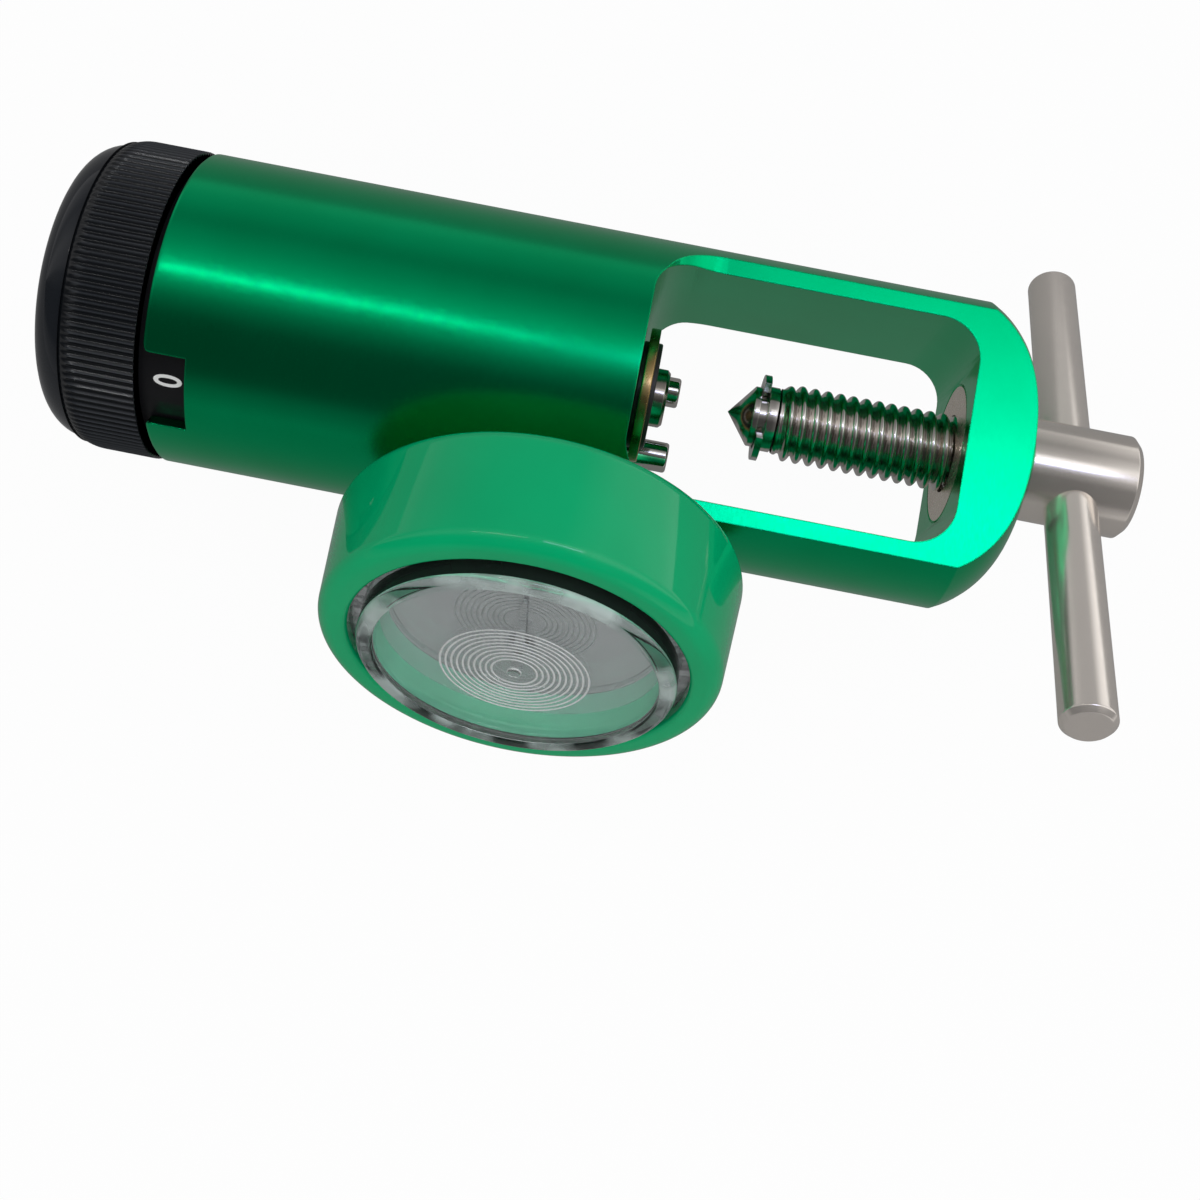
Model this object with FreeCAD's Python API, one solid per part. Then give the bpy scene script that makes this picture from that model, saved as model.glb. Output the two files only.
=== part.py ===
import FreeCAD, Part
import math
import os

V = FreeCAD.Vector

# Oxygen regulator of the post-valve yoke type, in millimetres.
# X runs along the barrel: the flow knob is at -X and the T handle at +X.
# x = 0 is the flat inlet face inside the yoke. Z is up in use: the cylinder's
# post valve passes through the yoke window along Z, with the index pins at -Z.

# Barrel and yoke, one piece turned and milled from round bar
BODY_R = 19.05
RIM_CHAMFER = 0.4
WINDOW_LENGTH = 38.9
WINDOW_HALF_WIDTH = 13.55
WINDOW_CORNER = 4.9
YOKE_WALL = 8.3
END_ROUND_LENGTH = 7.2
END_FACE_R = 7.58
FLAT_HALF = 10.95
RUNOUT_R = 7.9

# Bores of the barrel, listed from the inlet face towards the knob
INLET_HOLE_R = 5.5
INLET_DEPTH = 11.0
STEM_LAND = 5.0
PISTON_BORE_R = 13.5
PISTON_BORE_LENGTH = 17.2
CARTRIDGE_R = 15.0
BLOCK_LENGTH = 7.4
CHAMBER_LENGTH = 2.5
BONNET_LENGTH = 5.6
RING_FIT = 0.3
DIAL_BORE_DEPTH = 6.5
VENT_R = 0.75
VENT_FROM_BORE_END = 6.0

# Notch in the rim that shows one number of the flow dial
NOTCH_WIDTH = 9.7
NOTCH_DEPTH = 5.0
NOTCH_MOUTH_R = 0.9
NOTCH_ANGLE = 46.0

# Flow knob
KNOB_GAP = 1.3
KNOB_LENGTH = 12.7
KNOB_RIB_LENGTH = 8.6
KNOB_RIBS = 126
RIB_DEPTH = 0.4
RIB_TIP_SHARE = 0.5
KNOB_SHOULDER_R = 4.5
KNOB_SHOULDER_STEPS = 3
KNOB_MOUTH_CHAMFER = 0.3
DOME_INSET = 0.88
DOME_R = 4.5
KNOB_WALL = 1.85
KNOB_END_WALL = 2.7
KNOB_HUB_R = 5.0

# Number ring under the knob
RING_WALL = 1.6
RING_TO_BONNET = 0.6
RING_IN_KNOB = 4.0
WEB_THICK = 2.2
WEB_TO_RING_END = 1.1
SETTINGS = 12

# Spindle, orifice disc and click spring
SPINDLE_R = 3.0
SPINDLE_TAIL_R = 2.2
SPINDLE_FIT = 0.06
SPINDLE_CHAMFER = 0.4
DISC_CLEARANCE = 1.6
DISC_THICK = 1.2
DISC_GAP = 0.4
PORT_RADIUS = 9.0
PORT_HOLE_R = 1.5
CROSS_HOLE_R = 1.3
HOLE_OVERRUN = 0.6
SMALLEST_ORIFICE_R = 0.2
ORIFICE_STEP = 0.03
CLICK_THICK = 0.4
CLICK_INNER_R = 6.0
CLICK_CLEARANCE = 0.8
CLICK_PLAY = 0.1
CLICK_NOTCH_R = 1.3
CLICK_TRACK = (9.6, 12.6)

# O-rings: wire radius, and the room each groove leaves beside the ring
BLOCK_SEAL_WIRE_R = 0.7
PORT_SEAL_WIRE_R = 0.6
PORT_SEAL_R = 2.2
BLOCK_SEAL_INSET = 1.2
SPINDLE_SEAL_WIRE_R = 0.65
PISTON_SEAL_WIRE_R = 0.85
STEM_SEAL_WIRE_R = 0.6
SEAL_PLAY = 0.04
GROOVE_ROOM = 0.2

# Pressure-reducing piston and its spring
PISTON_FIT = 0.06
PISTON_LIP = 1.5
PISTON_LIP_R = (9.6, 11.4)
PISTON_HEAD = 4.0
PISTON_TO_BLOCK = 0.1
STEM_R = 4.0
STEM_ROOT = 0.8
STEM_FIT = 0.05
STEM_BORE_R = 1.0
STEM_GROOVE_FROM_BORE_END = 1.8
STEM_TIP_R = 1.7
STEM_TIP_LENGTH = 1.2
PISTON_TRAVEL = 0.7
SPRING_WIRE_R = 1.2
SPRING_MEAN_R = 8.6
SPRING_TURNS = 3
SPRING_END_GAP = 0.05

# Valve seat
SEAT_R = 2.8
SEAT_THICK = 1.2
HOLDER_LENGTH = 2.8
HOLDER_HOLE_R = 0.5
HOLDER_HOLES = 4

# Inlet nipple, filter and seal washer
NIPPLE_THREAD_LENGTH = 6.0
NIPPLE_R = 3.6
NIPPLE_OUT = 3.9
NIPPLE_CHAMFER = 0.4
NIPPLE_BORE_R = 1.4
FILTER_R = 2.2
FILTER_LENGTH = 7.2
FILTER_SET_BACK = 0.3
SEAL_METAL_R = 8.3
SEAL_METAL_THICK = 1.2
SEAL_METAL_HOLE_R = 4.6
SEAL_METAL_CHAMFER = 0.25
SEAL_RUBBER_R = 6.6
SEAL_RUBBER_FIT = 0.15
SEAL_RUBBER_FACE = 0.55
SEAL_RUBBER_CHAMFER = 0.3

# Index pins: oxygen positions, 18 degrees either side of straight down
PIN_CIRCLE_R = 14.29
PIN_ANGLE = 18.0
PIN_R = 1.98
PIN_OUT = 5.7
PIN_IN = 8.0
PIN_EDGE = 0.4

# Clamp screw, 3/8 in with 16 threads to the inch
SCREW_R = 4.7625
SCREW_TIP_X = 11.6
CONE_LENGTH = 2.9
CONE_R = 3.7
FRONT_LAND = 0.75
CLIP_THICK = 0.8
CLIP_PLAY = 0.05
GROOVE_R = 3.0
REAR_LAND = 1.5
REAR_LAND_R = 4.0
LEAD_IN = 0.8
BUSH_WALL = 3.6375
BUSH_LENGTH = 6.6
BUSH_FIT = 0.06
BUSH_RING = 0.3
SCREW_CLEARANCE = 0.5
CLIP_R = 5.3
CLIP_HOLLOW_ROOM = 0.25
CLIP_PRONG_ROOM = 0.1
CLIP_PRONG_WIDTH = 1.8
CLIP_OPENING = 80.0

# T handle
HUB_R = 6.35
HUB_LENGTH = 13.6
HUB_TO_YOKE = 0.6
HUB_CHAMFER = 0.8
HUB_FRONT_CHAMFER = 0.3
SHANK_R = 4.5
SHANK_END_WALL = 3.0
BAR_R = 3.175
BAR_LENGTH = 76.2
BAR_FROM_HUB = 6.2
BAR_CHAMFER = 0.6
BAR_ANGLE = -34.3

# Pressure gauge; heights are measured from the barrel's axis
GAUGE_X = -7.0
GAUGE_ANGLE = 63.7
GAUGE_SPOT_DEPTH = 1.05
GAUGE_SPOT_R = 8.0
GAUGE_THREAD_R = 4.85
GAUGE_THREAD_LENGTH = 8.5
GAUGE_PASSAGE_R = 1.1
STEM_HEX = 12.0
STEM_HEX_H = 5.4
STEM_SHANK_R = 4.0
STEM_SHANK_LENGTH = 4.2
CASE_R = 20.0
CASE_WALL = 0.8
CASE_CHAMFER = 0.8
DIAL_GAP = 1.0
LEDGE_WALL = 1.4
DIAL_THICK = 0.6
DIAL_FIT = 0.05
BOOT_BACK_WALL = 1.2
BOOT_BACK_SIDE = 3.25
BOOT_FRONT_SIDE = 2.15
BOOT_HOLE_R = 8.0
BOOT_FIT = 0.05
BOOT_LIP_GAP = 1.2
BOOT_LIP_THICK = 1.45
BOOT_EDGE_R = 1.5
BOOT_LIP_ROUND = 1.9
BOOT_LIP_CHAMFER = 0.5
WINDOW_FIT = 0.1
WINDOW_FLANGE = 1.6
WINDOW_R = 17.6
WINDOW_WALL = 1.7
WINDOW_RIM = 1.9
WINDOW_FACE_DROP = 0.2
WINDOW_FACE_THICK = 1.3
WINDOW_EDGE_R = 0.9
WINDOW_PIP_R = 0.75
WINDOW_PIP_H = 0.35
FLANGE_R = 11.0
FLANGE_THICK = 1.0
SOCKET_R = 1.3
SOCKET_AT_R = 10.0
BRIDGE_POST_R = 1.2
BRIDGE_POST_AT = 12.6
BRIDGE_GAP = 0.9
BRIDGE_THICK = 0.7
BRIDGE_WIDTH = 7.0
ARBOR_R = 0.5
ARBOR_FIT = 0.06
ARBOR_HUB_R = 2.2
ARBOR_HUB_PAST = 0.1
ARBOR_END_GAP = 0.1
COIL_GAP = 1.2
COIL_HEIGHT = 3.4
COIL_START_R = 2.65
COIL_PITCH = 1.6
COIL_HALF_TURNS = 8
COIL_WALL = 0.5
POINTER_GAP = 0.5
POINTER_ROOM = 2.0
POINTER_THICK = 0.5
POINTER_LENGTH = 10.5
POINTER_TAIL = 4.0
POINTER_WIDTH = 1.3
POINTER_TIP = 0.5
POINTER_HUB_R = 1.6

# Hose outlet; heights are measured from the barrel's axis, towards -Z
OUTLET_SPOT_DEPTH = 1.05
OUTLET_SPOT_R = 6.2
OUTLET_THREAD_R = 4.85
WASHER_R = 5.8
WASHER_THICK = 1.0
OUTLET_HEX = 10.0
OUTLET_HEX_H = 4.6
BARB_NECK_R = 2.6
BARB_NECK = 2.2
BARB_R = 3.5
BARB_ROOT_R = 2.85
BARB_PITCH = 3.1
BARB_COUNT = 2
BARB_TIP = 4.4
BARB_TIP_R = 3.0
BARB_TIP_CHAMFER = 0.7
BARB_BORE_R = 1.7

# Places worked out from the sizes above
X_BORE_END = -(INLET_DEPTH + STEM_LAND)
X_BLOCK_RIGHT = X_BORE_END - PISTON_BORE_LENGTH
X_BLOCK_LEFT = X_BLOCK_RIGHT - BLOCK_LENGTH
X_BONNET_RIGHT = X_BLOCK_LEFT - CHAMBER_LENGTH
X_BONNET_LEFT = X_BONNET_RIGHT - BONNET_LENGTH
X_RIM = X_BONNET_LEFT - DIAL_BORE_DEPTH
X_KNOB = X_RIM - KNOB_GAP
X_DISC = X_BLOCK_LEFT - DISC_GAP
X_YOKE_END = WINDOW_LENGTH + YOKE_WALL
X_HUB = X_YOKE_END + HUB_TO_YOKE
X_BAR = X_HUB + BAR_FROM_HUB
X_GROOVE = SCREW_TIP_X + CONE_LENGTH + FRONT_LAND
X_OUTLET = X_BLOCK_LEFT + 0.5 * BLOCK_LENGTH
SEAL_THICK = SEAL_METAL_THICK + 2.0 * SEAL_RUBBER_FACE
RING_R = BODY_R - KNOB_WALL
RING_INNER_R = RING_R - RING_WALL
X_RING_RIGHT = X_BONNET_LEFT - RING_TO_BONNET
X_WEB_RIGHT = X_RING_RIGHT - WEB_TO_RING_END
CLICK_BUMP_R = 0.5 * (X_BONNET_LEFT - X_WEB_RIGHT - CLICK_PLAY)
DIAL_BORE_R = RING_R + RING_FIT
DISC_R = CARTRIDGE_R - DISC_CLEARANCE
CLICK_OUTER_R = CARTRIDGE_R - CLICK_CLEARANCE
SEAL_RUBBER_HOLE_R = NIPPLE_R + SEAL_RUBBER_FIT
BUSH_R = SCREW_R + BUSH_WALL
CLIP_HOLLOW_R = CONE_R + CLIP_HOLLOW_ROOM
CLIP_PRONG_R = GROOVE_R + CLIP_PRONG_ROOM

# The gauge and the outlet, stacked outward from the barrel
GAUGE_SEAT_H = BODY_R - GAUGE_SPOT_DEPTH
OUTLET_SEAT_H = BODY_R - OUTLET_SPOT_DEPTH
CASE_BACK_H = GAUGE_SEAT_H + STEM_HEX_H + STEM_SHANK_LENGTH
CASE_FLOOR_H = CASE_BACK_H + CASE_WALL
FLANGE_TOP_H = CASE_FLOOR_H + FLANGE_THICK
COIL_LOW_H = FLANGE_TOP_H + COIL_GAP
COIL_HIGH_H = COIL_LOW_H + COIL_HEIGHT
BRIDGE_H = COIL_HIGH_H + BRIDGE_GAP
LEDGE_H = BRIDGE_H + BRIDGE_THICK + DIAL_GAP
DIAL_TOP_H = LEDGE_H + DIAL_THICK
POINTER_LOW_H = DIAL_TOP_H + POINTER_GAP
WINDOW_INSIDE_H = POINTER_LOW_H + POINTER_THICK + POINTER_ROOM
WINDOW_FACE_H = WINDOW_INSIDE_H + WINDOW_FACE_THICK
WINDOW_TOP_H = WINDOW_FACE_H + WINDOW_FACE_DROP
LEDGE_R = CASE_R - LEDGE_WALL
WINDOW_FLANGE_R = CASE_R - WINDOW_FIT
WINDOW_BORE_R = WINDOW_R - WINDOW_WALL
WINDOW_FACE_R = WINDOW_R - WINDOW_RIM
BOOT_BORE_R = CASE_R + BOOT_FIT
BOOT_BACK_R = BOOT_BORE_R + BOOT_BACK_SIDE
BOOT_FRONT_R = BOOT_BORE_R + BOOT_FRONT_SIDE
BOOT_LIP_R = WINDOW_R + BOOT_LIP_GAP


def corner_points(before, corner, after, radius):
    """Start, middle and end of the arc that rounds one corner of an outline."""
    back = (before - corner).normalize()
    ahead = (after - corner).normalize()
    half = back.getAngle(ahead) / 2.0
    reach = radius / math.tan(half)
    bisector = (back + ahead).normalize()
    middle = corner + bisector * (radius / math.sin(half) - radius)
    return corner + back * reach, middle, corner + ahead * reach


def outline(corners):
    """Closed wire in the XY plane through (u, v) or (u, v, radius) corners."""
    points = [V(c[0], c[1], 0) for c in corners]
    radii = [c[2] if len(c) > 2 else 0.0 for c in corners]
    stops = []
    for i, point in enumerate(points):
        if radii[i] > 0.0:
            after = points[(i + 1) % len(points)]
            stops.append(corner_points(points[i - 1], point, after, radii[i]))
        else:
            stops.append((point,))
    edges = []
    for i, stop in enumerate(stops):
        if len(stop) == 3:
            edges.append(Part.Arc(*stop).toShape())
        following = stops[(i + 1) % len(stops)][0]
        if (following - stop[-1]).Length > 1e-6:
            edges.append(Part.LineSegment(stop[-1], following).toShape())
    return Part.Wire(edges)


def turned(corners):
    """Solid of revolution about X from (x, radius, rounding) corners."""
    return Part.Face(outline(corners)).revolve(V(0, 0, 0), V(1, 0, 0), 360)


def tube_x(x_low, x_high, outer, inner=0.0):
    """Round bar or tube along X."""
    bar = Part.makeCylinder(outer, x_high - x_low, V(x_low, 0, 0), V(1, 0, 0))
    if inner > 0.0:
        bar = bar.cut(Part.makeCylinder(inner, x_high - x_low, V(x_low, 0, 0), V(1, 0, 0)))
    return bar


def extruded_x(corners, x_low, x_high):
    """Prism along X; the corners are (y, z) or (y, z, rounding)."""
    flat = Part.Face(outline(corners))
    flat.rotate(V(0, 0, 0), V(1, 1, 1), 120)
    flat.translate(V(x_low, 0, 0))
    return flat.extrude(V(x_high - x_low, 0, 0))


def hexagon_x(across_flats, x_low, x_high, chamfer):
    """Hexagon bar along X with its corners turned down at the far end."""
    reach = across_flats / math.sqrt(3.0)
    corners = []
    for i in range(6):
        angle = math.radians(60.0 * i)
        corners.append((reach * math.cos(angle), reach * math.sin(angle)))
    bar = extruded_x(corners, x_low, x_high)
    round_r = 0.5 * across_flats
    cone = turned([(x_low, 0), (x_low, reach + 0.1), (x_high - chamfer, reach + 0.1),
                   (x_high, round_r), (x_high, 0)])
    return bar.common(cone)


def ring_seal(x_centre, ring_r, wire_r):
    """O-ring around the X axis, its section eight-sided as if pressed in its groove."""
    reach = wire_r / math.cos(math.pi / 8.0)
    corners = []
    for i in range(8):
        angle = math.pi * (i + 0.5) / 4.0
        corners.append((x_centre + reach * math.cos(angle), ring_r + reach * math.sin(angle)))
    return turned(corners)


def placed(shape, origin, direction, sideways):
    """Turn a part made along X so that X follows direction and Y follows sideways."""
    turn = FreeCAD.Rotation(direction, sideways, direction.cross(sideways), "XYZ")
    moved = shape.copy()
    moved.Placement = FreeCAD.Placement(origin, turn).multiply(shape.Placement)
    return moved


def gauge_direction():
    """Unit vector from the barrel's axis out through the gauge face."""
    angle = math.radians(GAUGE_ANGLE)
    return V(0, -math.sin(angle), math.cos(angle))


def at_gauge(shape):
    """Place a gauge part, made along X from the barrel's axis."""
    return placed(shape, V(GAUGE_X, 0, 0), gauge_direction(), V(1, 0, 0))


def at_outlet(shape):
    """Place an outlet part, made along X from the barrel's axis."""
    return placed(shape, V(X_OUTLET, 0, 0), V(0, 0, -1), V(1, 0, 0))


def bar_direction():
    """Unit vector along the cross bar."""
    angle = math.radians(BAR_ANGLE)
    return V(0, math.cos(angle), math.sin(angle))


def bar_rod(extra=0.0):
    """The cross bar's plain rod, longer by extra at both ends."""
    length = BAR_LENGTH + 2.0 * extra
    start = V(X_BAR, 0, 0) - bar_direction() * (0.5 * length)
    return Part.makeCylinder(BAR_R, length, start, bar_direction())


def body_blank():
    """Barrel and yoke before milling: a bar with a domed right end."""
    dome_start = V(X_YOKE_END - END_ROUND_LENGTH, BODY_R, 0)
    drop = BODY_R - END_FACE_R
    arc_r = (END_ROUND_LENGTH ** 2 + drop ** 2) / (2.0 * END_ROUND_LENGTH)
    centre = V(X_YOKE_END - arc_r, END_FACE_R, 0)
    half = 0.5 * math.atan2(drop, arc_r - END_ROUND_LENGTH)
    middle = centre + V(math.cos(half), math.sin(half), 0) * arc_r
    dome_end = V(X_YOKE_END, END_FACE_R, 0)
    corners = [dome_end, V(X_YOKE_END, 0, 0), V(X_RIM, 0, 0), V(X_RIM, BODY_R - RIM_CHAMFER, 0),
               V(X_RIM + RIM_CHAMFER, BODY_R, 0), dome_start]
    edges = [Part.LineSegment(a, b).toShape() for a, b in zip(corners[:-1], corners[1:])]
    edges.append(Part.Arc(dome_start, middle, dome_end).toShape())
    return Part.Face(Part.Wire(edges)).revolve(V(0, 0, 0), V(1, 0, 0), 360)


def window_cut():
    """The through window of the yoke, with rounded corners."""
    w = WINDOW_HALF_WIDTH
    corners = [(0, -w, WINDOW_CORNER), (WINDOW_LENGTH, -w, WINDOW_CORNER),
               (WINDOW_LENGTH, w, WINDOW_CORNER), (0, w, WINDOW_CORNER)]
    face = Part.Face(outline(corners))
    face.translate(V(0, 0, -BODY_R - 1.0))
    return face.extrude(V(0, 0, 2.0 * BODY_R + 2.0))


def flat_cut(side):
    """Metal milled away above one flat of the yoke, with its curved run-out."""
    top = BODY_R + 2.0
    far = X_YOKE_END + 5.0
    run = RUNOUT_R * math.sqrt(0.5)
    start = V(RUNOUT_R, 0, FLAT_HALF)
    middle = V(RUNOUT_R - run, 0, FLAT_HALF + RUNOUT_R - run)
    end = V(0, 0, FLAT_HALF + RUNOUT_R)
    corners = [end, V(0, 0, top + RUNOUT_R), V(far, 0, top + RUNOUT_R), V(far, 0, FLAT_HALF), start]
    edges = [Part.LineSegment(a, b).toShape() for a, b in zip(corners[:-1], corners[1:])]
    edges.append(Part.Arc(start, middle, end).toShape())
    face = Part.Face(Part.Wire(edges))
    face.translate(V(0, -BODY_R - 1.0, 0))
    cut = face.extrude(V(0, 2.0 * BODY_R + 2.0, 0))
    if side < 0:
        cut = cut.mirror(V(0, 0, 0), V(0, 0, 1))
    return cut


def notch_cut():
    """Cut for the number notch, with rounded corners at its mouth."""
    half = 0.5 * NOTCH_WIDTH
    beyond = half + 3.0 * NOTCH_MOUTH_R
    deep = X_RIM + NOTCH_DEPTH
    corners = [(X_RIM - 2.0, -beyond), (X_RIM, -beyond), (X_RIM, -half, NOTCH_MOUTH_R), (deep, -half),
               (deep, half), (X_RIM, half, NOTCH_MOUTH_R), (X_RIM, beyond), (X_RIM - 2.0, beyond)]
    face = Part.Face(outline(corners))
    face.translate(V(0, 0, 0.5 * BODY_R))
    cut = face.extrude(V(0, 0, BODY_R))
    cut.rotate(V(0, 0, 0), V(1, 0, 0), NOTCH_ANGLE)
    return cut


def index_pin_places():
    """Centres of the two index pins on the inlet face."""
    angle = math.radians(PIN_ANGLE)
    y = PIN_CIRCLE_R * math.sin(angle)
    z = -PIN_CIRCLE_R * math.cos(angle)
    return [V(0, -y, z), V(0, y, z)]


def make_body():
    """Barrel and yoke, with every bore, flat, notch and port."""
    cuts = [window_cut(), flat_cut(1), flat_cut(-1), notch_cut()]
    cuts.append(tube_x(-INLET_DEPTH, 1.0, INLET_HOLE_R))
    cuts.append(tube_x(X_BORE_END - 1.0, 0.0, STEM_R + STEM_FIT))
    cuts.append(tube_x(X_BLOCK_RIGHT - 1.0, X_BORE_END, PISTON_BORE_R))
    cuts.append(tube_x(X_BONNET_LEFT - 1.0, X_BLOCK_RIGHT, CARTRIDGE_R))
    cuts.append(tube_x(X_RIM - 1.0, X_BONNET_LEFT, DIAL_BORE_R))
    bush_end = WINDOW_LENGTH + BUSH_LENGTH
    cuts.append(tube_x(WINDOW_LENGTH - 1.0, bush_end, BUSH_R))
    cuts.append(tube_x(WINDOW_LENGTH - 1.0, WINDOW_LENGTH + BUSH_RING, BUSH_R + BUSH_RING))
    cuts.append(tube_x(WINDOW_LENGTH, X_YOKE_END + 1.0, SCREW_R + SCREW_CLEARANCE))
    for place in index_pin_places():
        cuts.append(Part.makeCylinder(PIN_R, PIN_IN + 1.0, place - V(PIN_IN, 0, 0), V(1, 0, 0)))
    gauge_low = GAUGE_SEAT_H - GAUGE_THREAD_LENGTH
    cuts.append(at_gauge(tube_x(GAUGE_SEAT_H, BODY_R + 1.0, GAUGE_SPOT_R)))
    cuts.append(at_gauge(tube_x(gauge_low, BODY_R, GAUGE_THREAD_R)))
    cuts.append(at_gauge(tube_x(0.5 * INLET_HOLE_R, gauge_low + 0.5, GAUGE_PASSAGE_R)))
    cuts.append(at_outlet(tube_x(OUTLET_SEAT_H, BODY_R + 1.0, OUTLET_SPOT_R)))
    cuts.append(at_outlet(tube_x(CARTRIDGE_R - 1.0, BODY_R, OUTLET_THREAD_R)))
    vent_at = V(X_BORE_END - VENT_FROM_BORE_END, 0, 0)
    cuts.append(Part.makeCylinder(VENT_R, BODY_R + 1.0, vent_at, V(0, 0, -1)))
    return body_blank().cut(cuts)


def make_yoke_bush():
    """Threaded steel bush in the yoke's end wall."""
    return tube_x(WINDOW_LENGTH, WINDOW_LENGTH + BUSH_LENGTH, BUSH_R, SCREW_R + BUSH_FIT)


def make_clamp_screw():
    """Clamp screw: cone tip, clip groove, threaded length and shank in the hub."""
    groove_end = X_GROOVE + CLIP_THICK + 2.0 * CLIP_PLAY
    thread_start = groove_end + REAR_LAND
    shank_end = X_HUB + HUB_LENGTH - SHANK_END_WALL
    shape = turned([
        (SCREW_TIP_X, 0), (SCREW_TIP_X + CONE_LENGTH, CONE_R), (X_GROOVE, CONE_R),
        (X_GROOVE, GROOVE_R), (groove_end, GROOVE_R), (groove_end, REAR_LAND_R),
        (thread_start, REAR_LAND_R), (thread_start + LEAD_IN, SCREW_R),
        (X_HUB, SCREW_R), (X_HUB, SHANK_R), (shank_end, SHANK_R), (shank_end, 0)])
    return shape.cut(bar_rod())


def make_retaining_clip():
    """Spring clip in the screw's groove, with three inner prongs and one gap."""
    low = X_GROOVE + CLIP_PLAY
    high = low + CLIP_THICK
    clip = tube_x(low, high, CLIP_R, CLIP_HOLLOW_R)
    half = 0.5 * CLIP_PRONG_WIDTH
    opening = 0.5 * CLIP_OPENING
    for angle in (180.0, opening + 25.0, -opening - 25.0):
        prong = extruded_x([(-half, 0.5 * (CLIP_HOLLOW_R + CLIP_R)), (-half, 0), (half, 0),
                            (half, 0.5 * (CLIP_HOLLOW_R + CLIP_R))], low, high)
        prong.rotate(V(0, 0, 0), V(1, 0, 0), angle)
        clip = clip.fuse(prong)
    clip = clip.cut(tube_x(low - 1.0, high + 1.0, CLIP_PRONG_R))
    reach = 2.0 * CLIP_R
    side = reach * math.tan(math.radians(opening))
    gap = extruded_x([(0, 0), (side, reach), (-side, reach)], low - 1.0, high + 1.0)
    return clip.cut(gap).removeSplitter()


def make_tee_hub():
    """Round hub of the T handle, pressed on the screw's shank."""
    end = X_HUB + HUB_LENGTH
    hub = turned([(X_HUB, 0), (X_HUB, HUB_R - HUB_FRONT_CHAMFER), (X_HUB + HUB_FRONT_CHAMFER, HUB_R),
                  (end - HUB_CHAMFER, HUB_R),
                  (end, HUB_R - HUB_CHAMFER), (end, 0)])
    hub = hub.cut(tube_x(X_HUB - 1.0, end - SHANK_END_WALL, SHANK_R))
    return hub.cut(bar_rod())


def make_tee_bar():
    """Cross bar of the T handle with chamfered ends."""
    half = 0.5 * BAR_LENGTH
    bar = turned([(-half, 0), (-half, BAR_R - BAR_CHAMFER), (BAR_CHAMFER - half, BAR_R),
                  (half - BAR_CHAMFER, BAR_R), (half, BAR_R - BAR_CHAMFER), (half, 0)])
    return placed(bar, V(X_BAR, 0, 0), bar_direction(), V(1, 0, 0))


def make_inlet_nipple():
    """Nipple screwed in the inlet face; it centres the seal washer."""
    body = turned([
        (-NIPPLE_THREAD_LENGTH, 0), (-NIPPLE_THREAD_LENGTH, INLET_HOLE_R), (0, INLET_HOLE_R),
        (0, NIPPLE_R), (NIPPLE_OUT - NIPPLE_CHAMFER, NIPPLE_R),
        (NIPPLE_OUT, NIPPLE_R - NIPPLE_CHAMFER), (NIPPLE_OUT, 0)])
    body = body.cut(tube_x(-NIPPLE_THREAD_LENGTH - 1.0, NIPPLE_OUT, NIPPLE_BORE_R))
    filter_low = NIPPLE_OUT - FILTER_SET_BACK - FILTER_LENGTH
    return body.cut(tube_x(filter_low, NIPPLE_OUT + 1.0, FILTER_R))


def make_inlet_filter():
    """Sintered bronze filter inside the nipple."""
    high = NIPPLE_OUT - FILTER_SET_BACK
    return tube_x(high - FILTER_LENGTH, high, FILTER_R)


def make_seal_ring():
    """Brass ring of the bonded seal washer."""
    low = SEAL_RUBBER_FACE
    high = low + SEAL_METAL_THICK
    edge = SEAL_METAL_CHAMFER
    return turned([(low, SEAL_METAL_HOLE_R), (low, SEAL_METAL_R - edge), (low + edge, SEAL_METAL_R),
                   (high - edge, SEAL_METAL_R), (high, SEAL_METAL_R - edge), (high, SEAL_METAL_HOLE_R)])


def make_seal_rubber():
    """Rubber of the seal washer: two faces joined through the ring's hole."""
    low = SEAL_RUBBER_FACE
    high = low + SEAL_METAL_THICK
    edge = SEAL_RUBBER_CHAMFER
    return turned([
        (0, SEAL_RUBBER_HOLE_R), (0, SEAL_RUBBER_R - edge), (edge, SEAL_RUBBER_R), (low, SEAL_RUBBER_R),
        (low, SEAL_METAL_HOLE_R), (high, SEAL_METAL_HOLE_R), (high, SEAL_RUBBER_R),
        (SEAL_THICK - edge, SEAL_RUBBER_R), (SEAL_THICK, SEAL_RUBBER_R - edge),
        (SEAL_THICK, SEAL_RUBBER_HOLE_R)])


def make_index_pin(place):
    """Index pin pressed in the inlet face."""
    pin = turned([(-PIN_IN, 0), (-PIN_IN, PIN_R), (PIN_OUT - PIN_EDGE, PIN_R), (PIN_OUT, PIN_R - PIN_EDGE),
                  (PIN_OUT, 0)])
    pin.translate(place)
    return pin


def make_seat_holder():
    """Brass holder that keeps the valve seat at the end of the inlet hole."""
    low = -INLET_DEPTH
    holder = tube_x(low, low + HOLDER_LENGTH, INLET_HOLE_R)
    cuts = [tube_x(low - 1.0, low + SEAT_THICK, SEAT_R)]
    for i in range(HOLDER_HOLES):
        angle = 2.0 * math.pi * i / HOLDER_HOLES
        ring = SEAT_R + HOLDER_HOLE_R + 0.15
        place = V(low - 1.0, ring * math.cos(angle), ring * math.sin(angle))
        cuts.append(Part.makeCylinder(HOLDER_HOLE_R, HOLDER_LENGTH + 2.0, place, V(1, 0, 0)))
    return holder.cut(cuts)


def make_valve_seat():
    """Nylon disc that the piston's stem closes against."""
    return tube_x(-INLET_DEPTH, -INLET_DEPTH + SEAT_THICK, SEAT_R)


def piston_places():
    """Left end of the lip, the head's two faces and the tip of the stem."""
    lip = X_BLOCK_RIGHT + PISTON_TO_BLOCK
    head = lip + PISTON_LIP
    return lip, head, head + PISTON_HEAD, -INLET_DEPTH - PISTON_TRAVEL


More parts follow.
